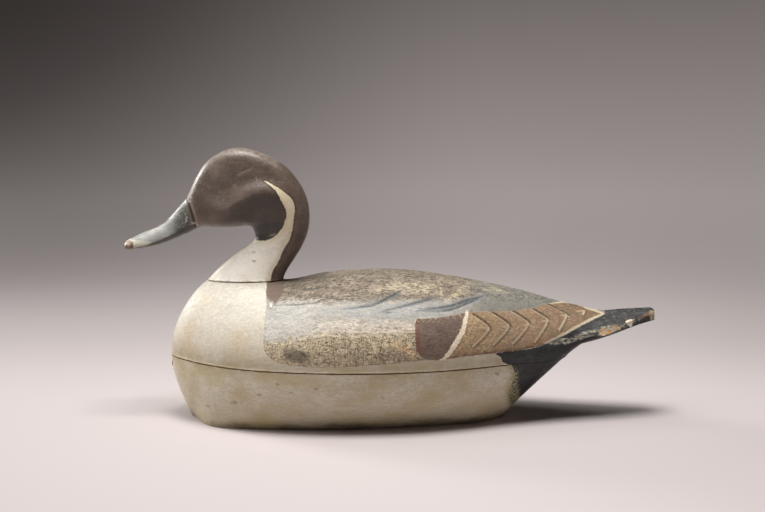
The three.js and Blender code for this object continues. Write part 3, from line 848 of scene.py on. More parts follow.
class PaintJob:
    """A painted-wood material. Its methods return sockets, so one coat is laid over another."""

    def __init__(self, name):
        self.material = bpy.data.materials.new(name)
        self.material.use_nodes = True
        self.tree = self.material.node_tree
        self.shader = self.tree.nodes["Principled BSDF"]
        self.place = self.tree.nodes.new("ShaderNodeTexCoord").outputs["Object"]
        self.fields = {}

    def feed(self, socket, value):
        if isinstance(value, bpy.types.NodeSocket):
            self.tree.links.new(value, socket)
        else:
            socket.default_value = value

    def field(self, name):
        """A field that the mesh carries, such as how far inside a painted area a point is."""
        if name not in self.fields:
            node = self.tree.nodes.new("ShaderNodeAttribute")
            node.attribute_name = name
            self.fields[name] = node.outputs["Fac"]
        return self.fields[name]

    def math(self, operation, first, second=0.0):
        node = self.tree.nodes.new("ShaderNodeMath")
        node.operation = operation
        self.feed(node.inputs[0], first)
        self.feed(node.inputs[1], second)
        return node.outputs[0]

    def axis(self, name):
        node = self.tree.nodes.new("ShaderNodeSeparateXYZ")
        self.feed(node.inputs[0], self.place)
        return node.outputs[name]

    def stretched(self, stretch, turn=0.0):
        """Object coordinates in millimetres, with each axis drawn out by its stretch."""
        node = self.tree.nodes.new("ShaderNodeMapping")
        self.feed(node.inputs["Vector"], self.place)
        node.inputs["Rotation"].default_value = (0, turn, 0)
        node.inputs["Scale"].default_value = [1 / (MM * s) for s in stretch]
        return node.outputs[0]

    def noise(self, size, detail=3.0, roughness=0.55, stretch=(1, 1, 1), turn=0.0, seed=0.0, twist=0.0):
        """Cloudy noise from 0 to 1 with patches of about the size, in millimetres."""
        node = self.tree.nodes.new("ShaderNodeTexNoise")
        node.noise_dimensions = "4D"
        self.feed(node.inputs["Vector"], self.stretched(stretch, turn))
        node.inputs["W"].default_value = seed
        node.inputs["Scale"].default_value = 1 / size
        node.inputs["Detail"].default_value = detail
        node.inputs["Roughness"].default_value = roughness
        node.inputs["Distortion"].default_value = twist
        return node.outputs[0]

    def cracks(self, size, seed=0.0):
        """Distance to the edges of random cells of about the size, in cell widths."""
        node = self.tree.nodes.new("ShaderNodeTexVoronoi")
        node.voronoi_dimensions = "4D"
        node.feature = "DISTANCE_TO_EDGE"
        self.feed(node.inputs["Vector"], self.stretched((1, 1, 1)))
        node.inputs["W"].default_value = seed
        node.inputs["Scale"].default_value = 1 / size
        return node.outputs["Distance"]

    def ramp(self, value, low, high, low_value=0.0, high_value=1.0):
        """A smooth change from one value to the other as the input goes from low to high."""
        node = self.tree.nodes.new("ShaderNodeMapRange")
        node.interpolation_type = "SMOOTHSTEP"
        self.feed(node.inputs["Value"], value)
        turned = low > high
        ends = (high, low, high_value, low_value) if turned else (low, high, low_value, high_value)
        for socket, end in zip(("From Min", "From Max", "To Min", "To Max"), ends):
            node.inputs[socket].default_value = end
        return node.outputs["Result"]

    def patches(self, size, low, high, amount, seed, stretch=(1, 1, 1), detail=3.0, roughness=0.65,
                turn=0.0):
        """Patches of about the size where the noise passes from low to high, as strong as the amount."""
        return self.ramp(self.noise(size, detail, roughness, stretch, turn, seed), low, high, 0, amount)

    def both(self, *masks):
        result = masks[0]
        for mask in masks[1:]:
            result = self.math("MULTIPLY", result, mask)
        return result

    def either(self, *masks):
        result = masks[0]
        for mask in masks[1:]:
            result = self.math("MAXIMUM", result, mask)
        return result

    def wavered(self, field, wobble, size, seed):
        """A field whose level lines waver by up to the wobble, as a hand-held brush leaves them."""
        shake = self.math("SUBTRACT", self.noise(size, 4, 0.6, seed=seed), 0.5)
        return self.math("ADD", self.field(field), self.math("MULTIPLY", shake, 2 * wobble))

    def ragged(self, field, softness, wobble, size, seed, amount=1.0):
        """A painted area from its field, with a wavering edge."""
        return self.ramp(self.wavered(field, wobble, size, seed), -softness, softness, 0, amount)

    def over(self, mask, under, coat):
        """The coat over what lies under it, where the mask is 1."""
        node = self.tree.nodes.new("ShaderNodeMix")
        node.data_type = "RGBA"
        self.feed(node.inputs[0], mask)
        self.feed(node.inputs[6], under)
        self.feed(node.inputs[7], coat)
        return node.outputs[2]

    def patched(self, coat, paint, *patch, **more):
        """The coat with patches of another paint on it."""
        return self.over(self.patches(*patch, **more), coat, paint)

    def marked(self, coat, paint, field, edge, wear=None):
        """The coat with a painted area on it, ragged at its edge and worn through in patches."""
        mask = self.ragged(field, *edge)
        if wear:
            mask = self.both(mask, self.patches(*wear))
        return self.over(mask, coat, paint)

    def toned(self, coat, grain, amount):
        """The coat made darker and lighter by a grain from 0 to 1, as strongly as the amount."""
        swing = self.math("SUBTRACT", self.math("MULTIPLY", grain, 2.0), 1.0)
        factor = self.math("ADD", self.math("MULTIPLY", swing, amount), 1.0)
        node = self.tree.nodes.new("ShaderNodeVectorMath")
        node.operation = "SCALE"
        self.feed(node.inputs[0], coat if isinstance(coat, bpy.types.NodeSocket) else coat[:3])
        self.feed(node.inputs["Scale"], factor)
        return node.outputs[0]

    def finish(self, base, roughness, height, height_scale):
        """Joins the colour, the roughness and the height, in millimetres, to the shader."""
        self.feed(self.shader.inputs["Base Color"], base)
        self.feed(self.shader.inputs["Roughness"], roughness)
        self.shader.inputs["Specular IOR Level"].default_value = PAINT_SPECULAR
        bump = self.tree.nodes.new("ShaderNodeBump")
        bump.inputs["Strength"].default_value = 1.0
        bump.inputs["Distance"].default_value = height_scale * MM
        self.feed(bump.inputs["Height"], height)
        self.feed(self.shader.inputs["Normal"], bump.outputs[0])
        return self.material


# The old white, bare wood, old black and the dirt of open joints

CREAM = colour(220, 214, 201)
CREAM_GREY = colour(200, 193, 178)
CREAM_YELLOW = colour(208, 186, 146)
CREAM_AMBER = colour(206, 168, 116)
CREAM_BROWN = colour(168, 136, 98)
GRIME = colour(112, 100, 80)
DAMP_KHAKI = colour(178, 162, 122)
JOINT_BROWN = colour(134, 106, 64)
CRACK = colour(84, 62, 38)
BARE_WOOD = colour(255, 196, 118)
PALE_WOOD = colour(255, 244, 222)
OLD_BLACK = colour(38, 37, 38)
RUBBED_BLACK = colour(70, 70, 71)
RUBBED_SPOT = colour(136, 133, 124)
BLACK_PIT = colour(20, 18, 18)


def cream_paint(job, amber):
    """Old cream-white: greyed and yellowed in patches, brushed, and specked with dirt. Where the amber
    mask says, old varnish or damp has stained it."""
    coat = job.patched(CREAM, CREAM_GREY, 26, 0.42, 0.72, 0.8, 1, (2.2, 1, 1), 4)
    coat = job.patched(coat, CREAM_YELLOW, 38, 0.5, 0.76, 0.55, 2, detail=5)
    coat = job.over(amber, coat, CREAM_AMBER)
    coat = job.patched(coat, CREAM_GREY, 2.2, 0.5, 0.75, 0.3, 3, (14, 1, 1))
    mottling = job.ramp(job.noise(1.5, 4, 0.7, (1.8, 1, 1), seed=7), 0.32, 0.68)
    coat = job.toned(coat, mottling, 0.14)
    freckles = job.patches(2.4, 0.6, 0.7, 1, 4, roughness=0.7)
    freckles = job.both(freckles, job.patches(20, 0.45, 0.7, 0.5, 5, detail=2))
    coat = job.over(freckles, coat, CREAM_BROWN)
    return job.patched(coat, GRIME, 1.5, 0.71, 0.75, 0.6, 6, (1.6, 1, 1), 2, 0.5)


def stained_cream(job, stain, damp, damp_reach, damp_size, seed):
    """The body's cream, with amber stains on the breast and khaki damp along the joint."""
    amber = job.ramp(job.wavered("stains", 5, 12, 24), -10, 12, 0, stain)
    coat = cream_paint(job, job.both(amber, job.patches(5, 0.25, 0.65, 1, 25)))
    near_joint = job.ramp(job.field("seam_near"), damp_reach, 1, 0, damp)
    damp_patches = job.patches(damp_size, 0.3, 0.65, 1, seed, (2, 1, 1), 4)
    return job.over(job.both(near_joint, damp_patches), coat, DAMP_KHAKI)


def paint_height(job, brush=0.5):
    """Fine relief of old brushed paint: brush lines, a little orange peel and hairline cracks."""
    lines = job.math("MULTIPLY", job.noise(0.9, 2, 0.5, (16, 1, 1), seed=21), brush)
    peel = job.math("MULTIPLY", job.noise(1.4, 3, 0.6, seed=22), 0.6)
    crazing = job.ramp(job.cracks(5.0, seed=23), 0.035, 0.0, 0, -0.35)
    return job.math("ADD", job.math("ADD", lines, peel), crazing)


def joint_dirt(job, coat, distance):
    """The brown that gathers along an open joint, here wide and there narrow."""
    halo = job.ramp(distance, 1.3, 0.2, 0, 0.75)
    halo = job.both(halo, job.patches(3.4, 0.42, 0.62, 1, 80, (2, 1, 1)))
    coat = job.over(halo, coat, JOINT_BROWN)
    line = job.both(job.ramp(distance, 0.45, 0.1), job.patches(4, 0.2, 0.5, 0.9, 79))
    return job.over(line, coat, CRACK)


def black_paint(job):
    """Old black: greyed, with a few small spots rubbed through."""
    coat = job.patched(OLD_BLACK, RUBBED_BLACK, 9, 0.4, 0.75, 1, 81, (2, 1, 1), 4)
    coat = job.patched(coat, RUBBED_SPOT, 1.3, 0.66, 0.74, 0.4, 82, (2.2, 1, 1), 4, 0.72)
    return job.patched(coat, BLACK_PIT, 1.1, 0.66, 0.72, 0.5, 83, (1.5, 1, 1), 3)


# The grey of the back and sides. Its tones pass into one another between these pixels of the photograph

SIDE_DOWN = (295, 306)
LOW_SIDE_DOWN = (318, 325)
RIDGE_DOWN = (280, 272)
REAR_ACROSS = (455, 492)
REAR_DOWN = (330, 318)
SIDE_FRONT_ACROSS = (340, 290)
LOW_GRAIN_ACROSS = (300, 335)
FLANK_SHADE_DOWN = (344, 366)

BACK_GREY = colour(135, 123, 108)
RIDGE_BROWN = colour(118, 108, 94)
BACK_BLOTCH = colour(122, 110, 92)
SIDE_SHEEN_GREY = colour(174, 168, 158)
LOW_SIDE_SHEEN_GREY = colour(199, 188, 174)
SIDE_FRONT_SHEEN_GREY = colour(176, 174, 168)
FLANK_TAN = colour(190, 174, 146)
FLANK_SHADE = colour(150, 134, 108)
REAR_GREY = colour(126, 123, 114)
PALE_DAB = colour(212, 198, 166)
CREASE_BROWN = colour(84, 75, 62)
SLANT_BROWN = colour(92, 76, 56)
DASH_BROWN = colour(102, 86, 64)
SLANT_CREAM = colour(216, 204, 176)


def grey_tones(job, down, across, side, low_side, flank, rear):
    """Brown-grey on the back, pale on the side, partly painted sheen where it faces the lamps, and tan on
    the flank.
    """
    # Paler on the side: the grey there, partly painted sheen
    coat = job.over(side, BACK_GREY, SIDE_SHEEN_GREY)
    coat = job.over(job.ramp(down, *RIDGE_DOWN, 0, 0.5), coat, RIDGE_BROWN)
    coat = job.patched(coat, BACK_BLOTCH, 11, 0.45, 0.7, 0.35, 13, (1.8, 1, 1))
    coat = job.over(low_side, coat, LOW_SIDE_SHEEN_GREY)
    side_front = job.both(side, job.ramp(across, *SIDE_FRONT_ACROSS, 0, 0.75))
    coat = job.over(side_front, coat, SIDE_FRONT_SHEEN_GREY)
    flank_tan = job.over(job.ramp(down, *FLANK_SHADE_DOWN, 0, 0.55), FLANK_TAN, FLANK_SHADE)
    coat = job.over(flank, coat, flank_tan)
    return job.over(rear, coat, REAR_GREY)


def dabbed_grain(job, across, side, low_side, flank, rear):
    """The grain of the dabbed paint from 0 to 1, and how strongly it shows."""
    coarse = job.noise(1.5, 4, 0.68, (1.7, 1, 1), turn=-0.12, seed=14, twist=0.5)
    fine = job.noise(0.8, 2, 0.6, (1.1, 1, 1), seed=15)
    dabs = job.noise(3.8, 3, 0.6, (2.8, 1, 1), turn=-0.3, seed=20, twist=1.1)
    mixed = job.math("ADD", job.math("MULTIPLY", coarse, 0.5), job.math("MULTIPLY", fine, 0.2))
    mixed = job.math("ADD", mixed, job.math("MULTIPLY", dabs, 0.3))
    grain = job.ramp(mixed, 0.38, 0.62)
    strength = job.math("ADD", job.ramp(side, 0, 1, 0.8, 0.26), job.ramp(flank, 0, 1, 0.0, 0.2))
    low_grain = job.both(low_side, job.ramp(across, *LOW_GRAIN_ACROSS, 0, 0.12))
    strength = job.math("ADD", strength, low_grain)
    return grain, job.both(strength, job.ramp(rear, 0, 1, 1.0, 0.7))


def grey_strokes(job, coat, strength, flank):
    """Pale dabs, dark creases between the dabs, and short slanted strokes on the flank."""
    coat = job.marked(coat, PALE_DAB, "pale_dabs", (3, 2.5, 4, 9), (2.6, 0.42, 0.58, 0.75, 8, (1.8, 1, 1)))
    wrinkles = job.noise(3, 2, 0.5, (1.8, 1, 1), seed=16, twist=1.4)
    wrinkles = job.math("ABSOLUTE", job.math("SUBTRACT", wrinkles, 0.5))
    creases = job.both(job.ramp(wrinkles, 0.03, 0.008), job.patches(7, 0.45, 0.6, 1, 17),
                       job.ramp(strength, 0.2, 0.6, 0.1, 0.8))
    coat = job.over(creases, coat, CREASE_BROWN)
    slants = job.both(job.patches(1.2, 0.53, 0.62, 0.85, 18, (1, 1, 4.5), turn=-0.85), flank)
    coat = job.over(slants, coat, SLANT_BROWN)
    dashes = job.both(job.patches(1.1, 0.54, 0.63, 0.75, 63, (3.2, 1, 1), turn=-0.15), flank)
    coat = job.over(dashes, coat, DASH_BROWN)
    pale_slants = job.both(job.patches(1.3, 0.56, 0.66, 0.75, 19, (1, 1, 4.5), turn=-0.85), flank)
    return job.over(pale_slants, coat, SLANT_CREAM)


def grey_back_paint(job):
    """The drake's grey, dabbed on thick, with the grain of the dabs and its strength."""
    down = job.wavered("draw_down", 5, 8, 11)
    across = job.wavered("draw_across", 8, 9, 12)
    side = job.ramp(down, *SIDE_DOWN)
    low_side = job.ramp(down, *LOW_SIDE_DOWN)
    flank = job.ramp(job.wavered("flank", 15, 3.4, 10), -5, 5)
    rear = job.both(job.ramp(across, *REAR_ACROSS), job.ramp(down, *REAR_DOWN))
    coat = grey_tones(job, down, across, side, low_side, flank, rear)
    grain, strength = dabbed_grain(job, across, side, low_side, flank, rear)
    coat = grey_strokes(job, job.toned(coat, grain, strength), strength, flank)
    return coat, grain, strength


# Marks over the grey, from the first laid to the last: paint, field, edge and wear. An edge is its
# softness, wobble, size, seed and strength. Wear is the size, range, strength, seed and stretch of patches

BLUE_GREY = colour(152, 156, 158)
SLATE = colour(108, 114, 116)
CHARCOAL = colour(60, 62, 61)
SMUDGE_BROWN = colour(84, 75, 66)
SMEAR_BROWN = colour(116, 96, 82)
SHOULDER_HIGHLIGHT = colour(226, 214, 194)
NECK_ROOT_SHADOW_AND_DIRT = colour(66, 58, 50)

SIDE_MARKS = [
    (BLUE_GREY, "blue_band", (3.0, 2.6, 4, 33), (1.5, 0.38, 0.6, 0.75, 34, (2.6, 1, 1))),
    (SLATE, "blue_strokes", (1.2, 1.1, 2.5, 35), (1.6, 0.25, 0.5, 0.8, 31, (4, 1, 1))),
    (CHARCOAL, "dark_strokes", (0.6, 0.8, 1.6, 36), (1.8, 0.25, 0.5, 0.75, 32, (3, 1, 1))),
    (SMUDGE_BROWN, "smudge", (3, 2.0, 3, 37, 0.75)),
    (SMEAR_BROWN, "flank_brown", (4, 3.0, 4, 26, 0.7), (1.4, 0.38, 0.6, 1, 27)),
    # A pale line painted as the highlight where the side turns over towards the back
    (SHOULDER_HIGHLIGHT, "shoulder_highlight", (0.8, 0.8, 3, 28), (2, 0.35, 0.55, 0.8, 29, (5, 1, 1))),
    # The neck's shadow painted on the back, with some dirt
    (NECK_ROOT_SHADOW_AND_DIRT, "neck_root_shadow_and_dirt", (7, 3.0, 5, 30, 0.85), (1.3, 0.25, 0.5, 1, 40)),
]


# The carved feathers

FEATHER_MIDDLE_ACROSS = (470, 515)
FEATHER_REAR_ACROSS = (525, 575)
FEATHER_LOW_DOWN = (338, 347)

FEATHER_TAN = colour(158, 133, 104)
FEATHER_STRAW = colour(186, 164, 126)
FEATHER_MIDDLE = colour(150, 127, 102)
FEATHER_REAR = colour(118, 97, 76)
FEATHER_RUST = colour(150, 112, 82)
FEATHER_PALE_FLECK = colour(206, 182, 148)
FEATHER_DARK_FLECK = colour(108, 80, 58)
OUTER_LINE_SHADOW = colour(80, 62, 48)
INNER_LINE = colour(206, 188, 160)
QUILL = colour(202, 180, 150)
FEATHER_LOW_EDGE = colour(104, 78, 58)


def feather_brown(job):
    """The brown under the feather lines: tan in front, darker to the rear, flecked."""
    along = job.field("draw_across")
    front = job.patched(FEATHER_TAN, FEATHER_STRAW, 1.8, 0.46, 0.6, 0.7, 72, (1.8, 1, 1))
    coat = job.over(job.ramp(along, *FEATHER_MIDDLE_ACROSS), front, FEATHER_MIDDLE)
    coat = job.over(job.ramp(along, *FEATHER_REAR_ACROSS), coat, FEATHER_REAR)
    coat = job.patched(coat, FEATHER_RUST, 7, 0.4, 0.7, 0.5, 51, (2.2, 1, 1), 4)
    grain = job.ramp(job.noise(1.3, 3, 0.65, (2.4, 1, 1), seed=52), 0.34, 0.66)
    coat = job.toned(coat, grain, 0.26)
    coat = job.patched(coat, FEATHER_PALE_FLECK, 1.6, 0.6, 0.68, 0.6, 53, (2.2, 1, 1))
    return job.patched(coat, FEATHER_DARK_FLECK, 1.8, 0.63, 0.7, 0.65, 57, (1.8, 1, 1))


def feather_paint(job):
    """Brown feathers with cream inside and painted shadow outside each cut edge, the shadow strongest on
    the upper arms; rubbed and flecked.
    """
    coat = feather_brown(job)
    edge = job.field("feather_edge")
    lower = job.ramp(job.field("feather_arm"), 0.35, -0.05, 0.3, 1.0)
    upper = job.ramp(job.field("feather_arm"), -0.3, 0.2, 0.55, 1.0)
    worn = job.ramp(job.noise(2.2, 3, 0.65, seed=54), 0.3, 0.5, 0.3, 1.0)
    # Painted shadow outside each cut edge, strongest on the upper arms
    outer_shadow = job.both(job.ramp(edge, -1.0, 0.0), job.ramp(edge, 2.4, 0.9), upper)
    coat = job.over(job.both(outer_shadow, worn, 0.85), coat, OUTER_LINE_SHADOW)
    inner_line = job.both(job.ramp(edge, -2.6, -1.6), job.ramp(edge, 0.1, -0.5), lower)
    coat = job.over(job.both(inner_line, worn), coat, INNER_LINE)
    quills = job.both(job.ragged("quills", 0.6, 0.6, 2, 55, 0.65), worn)
    coat = job.over(quills, coat, QUILL)
    low_edge = job.ramp(job.field("feather_field"), 5, 0.5)
    low_edge = job.both(low_edge, job.ramp(job.field("draw_down"), *FEATHER_LOW_DOWN))
    return job.over(job.both(low_edge, job.patches(3, 0.3, 0.6, 0.8, 56)), coat, FEATHER_LOW_EDGE)


# The wing panel and the cream bar behind it

PANEL_TOP_DOWN = (334, 322)
PANEL_BOTTOM_DOWN = (350, 356)

PANEL_BROWN = colour(104, 86, 76)
PANEL_PURPLE = colour(122, 104, 90)
PANEL_RED = colour(122, 70, 58)
PANEL_RUB = colour(176, 150, 122)
PANEL_WEAR_TAN = colour(214, 156, 92)
PANEL_WEAR_CREAM = colour(236, 212, 172)
BAR_CREAM = colour(232, 216, 192)


def wing_panel_paint(job):
    """Purple-brown wing panel, reddish at its front edge and rubbed to tan along its top."""
    coat = job.patched(PANEL_BROWN, PANEL_PURPLE, 8, 0.35, 0.7, 1, 41, detail=4)
    grain = job.ramp(job.noise(1.2, 3, 0.65, (2, 1, 1), seed=42), 0.34, 0.66)
    coat = job.toned(coat, grain, 0.17)
    coat = job.marked(coat, PANEL_RED, "panel_edge", (2.2, 1.0, 2, 43, 0.9), (1.6, 0.3, 0.55, 1, 46))
    panel = job.field("wing_panel")
    down = job.field("draw_down")
    top = job.both(job.ramp(panel, 7, 1), job.ramp(down, *PANEL_TOP_DOWN))
    bottom = job.both(job.ramp(panel, 4, 0.5), job.ramp(down, *PANEL_BOTTOM_DOWN, 0, 0.7))
    rubbed = job.either(top, bottom)
    rubbed = job.both(rubbed, job.patches(1.5, 0.5, 0.62, 0.85, 47, (1.6, 1, 1)))
    return job.over(rubbed, coat, PANEL_RUB)


def wing_paint(job, coat):
    """The wing panel with the wear on it, the feathers, and the cream bar between them."""
    coat = job.over(job.ragged("wing_panel", 0.45, 1.0, 2.4, 44), coat, wing_panel_paint(job))
    wear = job.both(job.ragged("panel_wear", 2.4, 2.4, 2.4, 45), job.patches(1.4, 0.44, 0.56, 0.95, 60))
    wear_colour = job.patched(PANEL_WEAR_TAN, PANEL_WEAR_CREAM, 1.2, 0.4, 0.55, 1, 70)
    coat = job.over(wear, coat, wear_colour)
    coat = job.over(job.ragged("feather_field", 0.45, 1.0, 2.2, 58), coat, feather_paint(job))
    grain = job.ramp(job.noise(1.6, 3, 0.65, seed=73), 0.35, 0.65)
    return job.marked(coat, job.toned(BAR_CREAM, grain, 0.12), "cream_bar", (0.5, 2.2, 2.2, 59))


# The black tail and the wood that shows where it is worn

TAIL_RUB_ACROSS = (585, 615)

TAIL_RUB = colour(140, 140, 136)
BORDER_CREAM = colour(206, 194, 168)
TAIL_WEAR_GREY = colour(140, 138, 126)
TAIL_WEAR_PALE = colour(206, 200, 180)
TAIL_RUST = colour(112, 78, 54)
TAIL_END_BROWN = colour(116, 92, 66)
TAIL_END_PALE = colour(204, 190, 158)
WOOD_FLECK = colour(96, 74, 54)


def tail_paint(job, coat):
    """The black tail with its cream border, worn and chipped. Gives the coat and where it is worn thin."""
    rubbed = job.ramp(job.field("draw_across"), *TAIL_RUB_ACROSS)
    rubbed = job.both(rubbed, job.patches(1.2, 0.54, 0.64, 0.7, 84, (2.2, 1, 1), 4, 0.7))
    black = job.over(rubbed, black_paint(job), TAIL_RUB)
    coat = job.marked(coat, black, "black_tail", (0.5, 1.3, 2.2, 61))
    coat = job.marked(coat, BORDER_CREAM, "field_border", (0.7, 0.9, 1.8, 62), (1.8, 0.25, 0.5, 0.9, 63))
    thin = job.ragged("tail_wear", 1.0, 2.0, 2.4, 64)
    thin = job.both(thin, job.patches(1.5, 0.38, 0.56, 1, 65, (2, 1, 1), 4, 0.7))
    worn_grey = job.patched(TAIL_WEAR_GREY, TAIL_WEAR_PALE, 2.2, 0.4, 0.65, 1, 66, (2, 1, 1))
    coat = job.over(thin, coat, worn_grey)
    coat = job.marked(coat, TAIL_RUST, "tail_streak", (0.6, 0.7, 2, 67, 0.85))
    end_wood = job.patched(TAIL_END_BROWN, TAIL_END_PALE, 1.8, 0.38, 0.6, 1, 68, (1, 1, 3), 4)
    coat = job.marked(coat, end_wood, "tail_end", (0.8, 1.2, 1.8, 74, 0.9))
    wood = job.patched(BARE_WOOD, PALE_WOOD, 1.6, 0.42, 0.58, 1, 75, (3, 1, 1))
    wood = job.patched(wood, WOOD_FLECK, 1.5, 0.62, 0.68, 0.8, 76, (2, 1, 1))
    coat = job.marked(coat, wood, "bare_wood", (0.5, 1.3, 1.6, 77))
    return job.marked(coat, PALE_WOOD, "tail_chip", (0.4, 0.6, 1.5, 78)), thin


# The upper half of the body

BREAST_SHADE_DOWN = (300, 350)

BREAST_SHADE = colour(196, 178, 146)
FLANK_EDGE_BROWN = colour(84, 70, 54)
NECK_PATCH_BROWN = colour(114, 97, 87)
CURL_SHADOW = colour(122, 104, 88)


def back_relief(job, grain, strength, thin):
    """The height of the paint: the grey lies thick on the cream, and the worn tail is lower."""
    thick = job.ramp(job.field("grey_back"), -0.4, 0.6)
    dabs = job.both(grain, thick, job.math("MULTIPLY", strength, 2.6))
    height = paint_height(job)
    height = job.math("ADD", height, job.math("ADD", job.math("MULTIPLY", thick, 0.6), dabs))
    return job.math("ADD", height, job.math("MULTIPLY", thin, -1.0))


def body_upper_paint():
    job = PaintJob("painted_back")
    coat = stained_cream(job, stain=0.72, damp=0.85, damp_reach=20, damp_size=14, seed=69)
    low_breast = job.ramp(job.wavered("draw_down", 6, 14, 12), *BREAST_SHADE_DOWN, 0, 0.35)
    coat = job.toned(job.over(low_breast, coat, BREAST_SHADE), 0.0, 0.17)
    grey, grain, strength = grey_back_paint(job)
    for mark in SIDE_MARKS:
        grey = job.marked(grey, *mark)
    coat = job.marked(coat, grey, "grey_back", (0.6, 2.1, 2.2, 38))
    coat = job.marked(coat, FLANK_EDGE_BROWN, "flank_edge", (0.5, 1.0, 2.0, 48, 0.75))
    patch_grain = job.ramp(job.noise(1.4, 3, 0.65, seed=49), 0.35, 0.65)
    neck_patch = job.toned(NECK_PATCH_BROWN, patch_grain, 0.15)
    coat = job.marked(coat, neck_patch, "neck_patch", (0.5, 1.6, 2.6, 39))
    coat = job.over(job.ramp(job.field("curl"), -1.5, -0.5, 0, 0.7), coat, CURL_SHADOW)
    coat = job.marked(coat, CREAM, "curl", (0.4, 0.5, 2, 50, 0.95))
    coat, thin = tail_paint(job, wing_paint(job, coat))
    coat = joint_dirt(job, coat, job.math("MINIMUM", job.field("seam_near"), job.field("neck_near")))
    roughness = job.ramp(job.noise(5, 3, 0.6, seed=71), 0.3, 0.7, 0.46, 0.62)
    return job.finish(coat, roughness, back_relief(job, grain, strength, thin), 0.22)


# The lower half of the body. Heights above the floor are in metres, where the painted shade and the rubbed
# band at the base, which is partly painted shade, begin and end

BELLY_SHADE_LEVEL = (0.085, 0.02)
BASE_RUB_AND_SHADE_LEVEL = (0.024, 0.013)

BELLY_SHADE = colour(174, 158, 124)
BELLY_BRUSH_LINE = colour(146, 130, 104)
BELLY_RUNNEL = colour(206, 196, 174)
BELLY_KHAKI = colour(176, 158, 112)
BELLY_DIRT = colour(112, 98, 76)
BELLY_SPECK = colour(112, 94, 74)
BASE_RUB_AND_SHADE = colour(92, 80, 62)
RUMP_YELLOW = colour(150, 138, 98)
RUMP_FLECK = colour(158, 152, 112)


def belly_cream(job):
    """The belly's cream: darker towards the floor in painted shade, brushed, stained, specked, and rubbed
    darker at the base, partly in painted shade.
    """
    coat = stained_cream(job, stain=0.4, damp=0.8, damp_reach=14, damp_size=12, seed=98)
    level = job.math("ADD", job.axis("Z"), job.math("MULTIPLY", job.noise(30, 3, seed=8), 0.03))
    coat = job.over(job.ramp(level, *BELLY_SHADE_LEVEL, 0, 0.6), coat, BELLY_SHADE)
    coat = job.patched(coat, BELLY_BRUSH_LINE, 1.5, 0.5, 0.7, 0.3, 92, (9, 1, 1))
    coat = job.patched(coat, BELLY_RUNNEL, 1.4, 0.56, 0.7, 0.3, 90, (1, 1, 7))
    coat = job.patched(coat, BELLY_KHAKI, 26, 0.42, 0.66, 0.65, 88, (1.8, 1, 1), 5)
    coat = job.patched(coat, BELLY_DIRT, 1.7, 0.62, 0.7, 0.35, 87, (3.5, 1, 1), 4, 0.7)
    coat = job.marked(coat, BELLY_SPECK, "specks", (0.9, 1.2, 1.6, 91, 0.5))
    # A darker band at the base: rubbed paint, and painted shade where the belly meets the floor
    rubbed = job.both(job.ramp(level, *BASE_RUB_AND_SHADE_LEVEL), job.patches(5, 0.25, 0.6, 0.7, 89, (3, 1, 1)))
    return job.over(rubbed, coat, BASE_RUB_AND_SHADE)


def body_lower_paint():
    job = PaintJob("painted_belly")
    coat = belly_cream(job)
    coat = job.marked(coat, RUMP_YELLOW, "rump_fade", (3.5, 3.0, 4, 93), (2.4, 0.35, 0.6, 0.75, 94))
    coat = job.over(job.ragged("black_tail", 0.5, 3.6, 2.2, 95), coat, black_paint(job))
    fleck_wear = (1.6, 0.44, 0.53, 0.85, 97, (1, 1, 1), 4)
    coat = job.marked(coat, RUMP_FLECK, "rump_fade", (2.5, 3, 3, 96), fleck_wear)
    coat = joint_dirt(job, coat, job.field("seam_near"))
    roughness = job.ramp(job.noise(6, 3, 0.6, seed=99), 0.3, 0.7, 0.45, 0.62)
    return job.finish(coat, roughness, paint_height(job, 1.2), 0.2)


# The bill

BILL_BASE_ACROSS = (163, 182)

BILL_GREY = colour(136, 137, 135)
BILL_PALE_GREY = colour(172, 171, 166)
BILL_SCRATCH = colour(104, 102, 98)
BILL_BASE_DIRT = colour(66, 65, 57)
BILL_EDGE_SHADE = colour(56, 49, 42)
BILL_CREAM = colour(192, 187, 168)
TIP_BROWN = colour(94, 71, 50)
TIP_TAN = colour(160, 143, 118)
TIP_WEAR_AND_HIGHLIGHT = colour(226, 219, 202)


def bill_paint(job):
    """Worn blue-grey over wood: dark and dirty at the base, pale along the side, brown at the tip, with
    painted shade along its top and lower edges and a pale rim at the tip that is worn paint and a painted
    highlight.
    """
    coat = job.patched(BILL_GREY, BILL_PALE_GREY, 10, 0.35, 0.7, 1, 111, (2, 1, 1))
    coat = job.patched(coat, BILL_SCRATCH, 0.9, 0.5, 0.68, 0.5, 112, (9, 1, 1), turn=0.55)
    coat = job.toned(coat, job.ramp(job.noise(1.1, 3, 0.65, seed=120), 0.35, 0.65), 0.12)
    base = job.ramp(job.wavered("draw_across", 6, 5, 121), *BILL_BASE_ACROSS)
    coat = job.over(job.both(base, job.patches(1.8, 0.2, 0.52, 0.92, 122)), coat, BILL_BASE_DIRT)
    # Painted shade along the bill's top edge, and along its lower edge where the side turns under
    coat = job.marked(coat, BILL_EDGE_SHADE, "bill_edge_shade", (1.0, 1.1, 2.4, 113, 0.85))
    coat = job.marked(coat, BILL_CREAM, "bill_cream", (1.2, 1.5, 1.8, 114, 0.75))
    bare = job.patched(TIP_BROWN, TIP_TAN, 1.1, 0.45, 0.58, 0.8, 123, (1, 1, 3))
    coat = job.marked(coat, bare, "bill_bare", (0.8, 1.4, 1.6, 115, 0.95))
    # A pale rim at the bill tip: worn paint and a painted highlight
    return job.marked(coat, TIP_WEAR_AND_HIGHLIGHT, "bill_tip_wear_and_highlight", (0.8, 1.2, 1.4, 116), (1.3, 0.38, 0.56, 0.9, 124))


# The head and the white of the neck

NECK_BASE_DOWN = (232, 268)
STRIPE_DOWN = (246, 226)

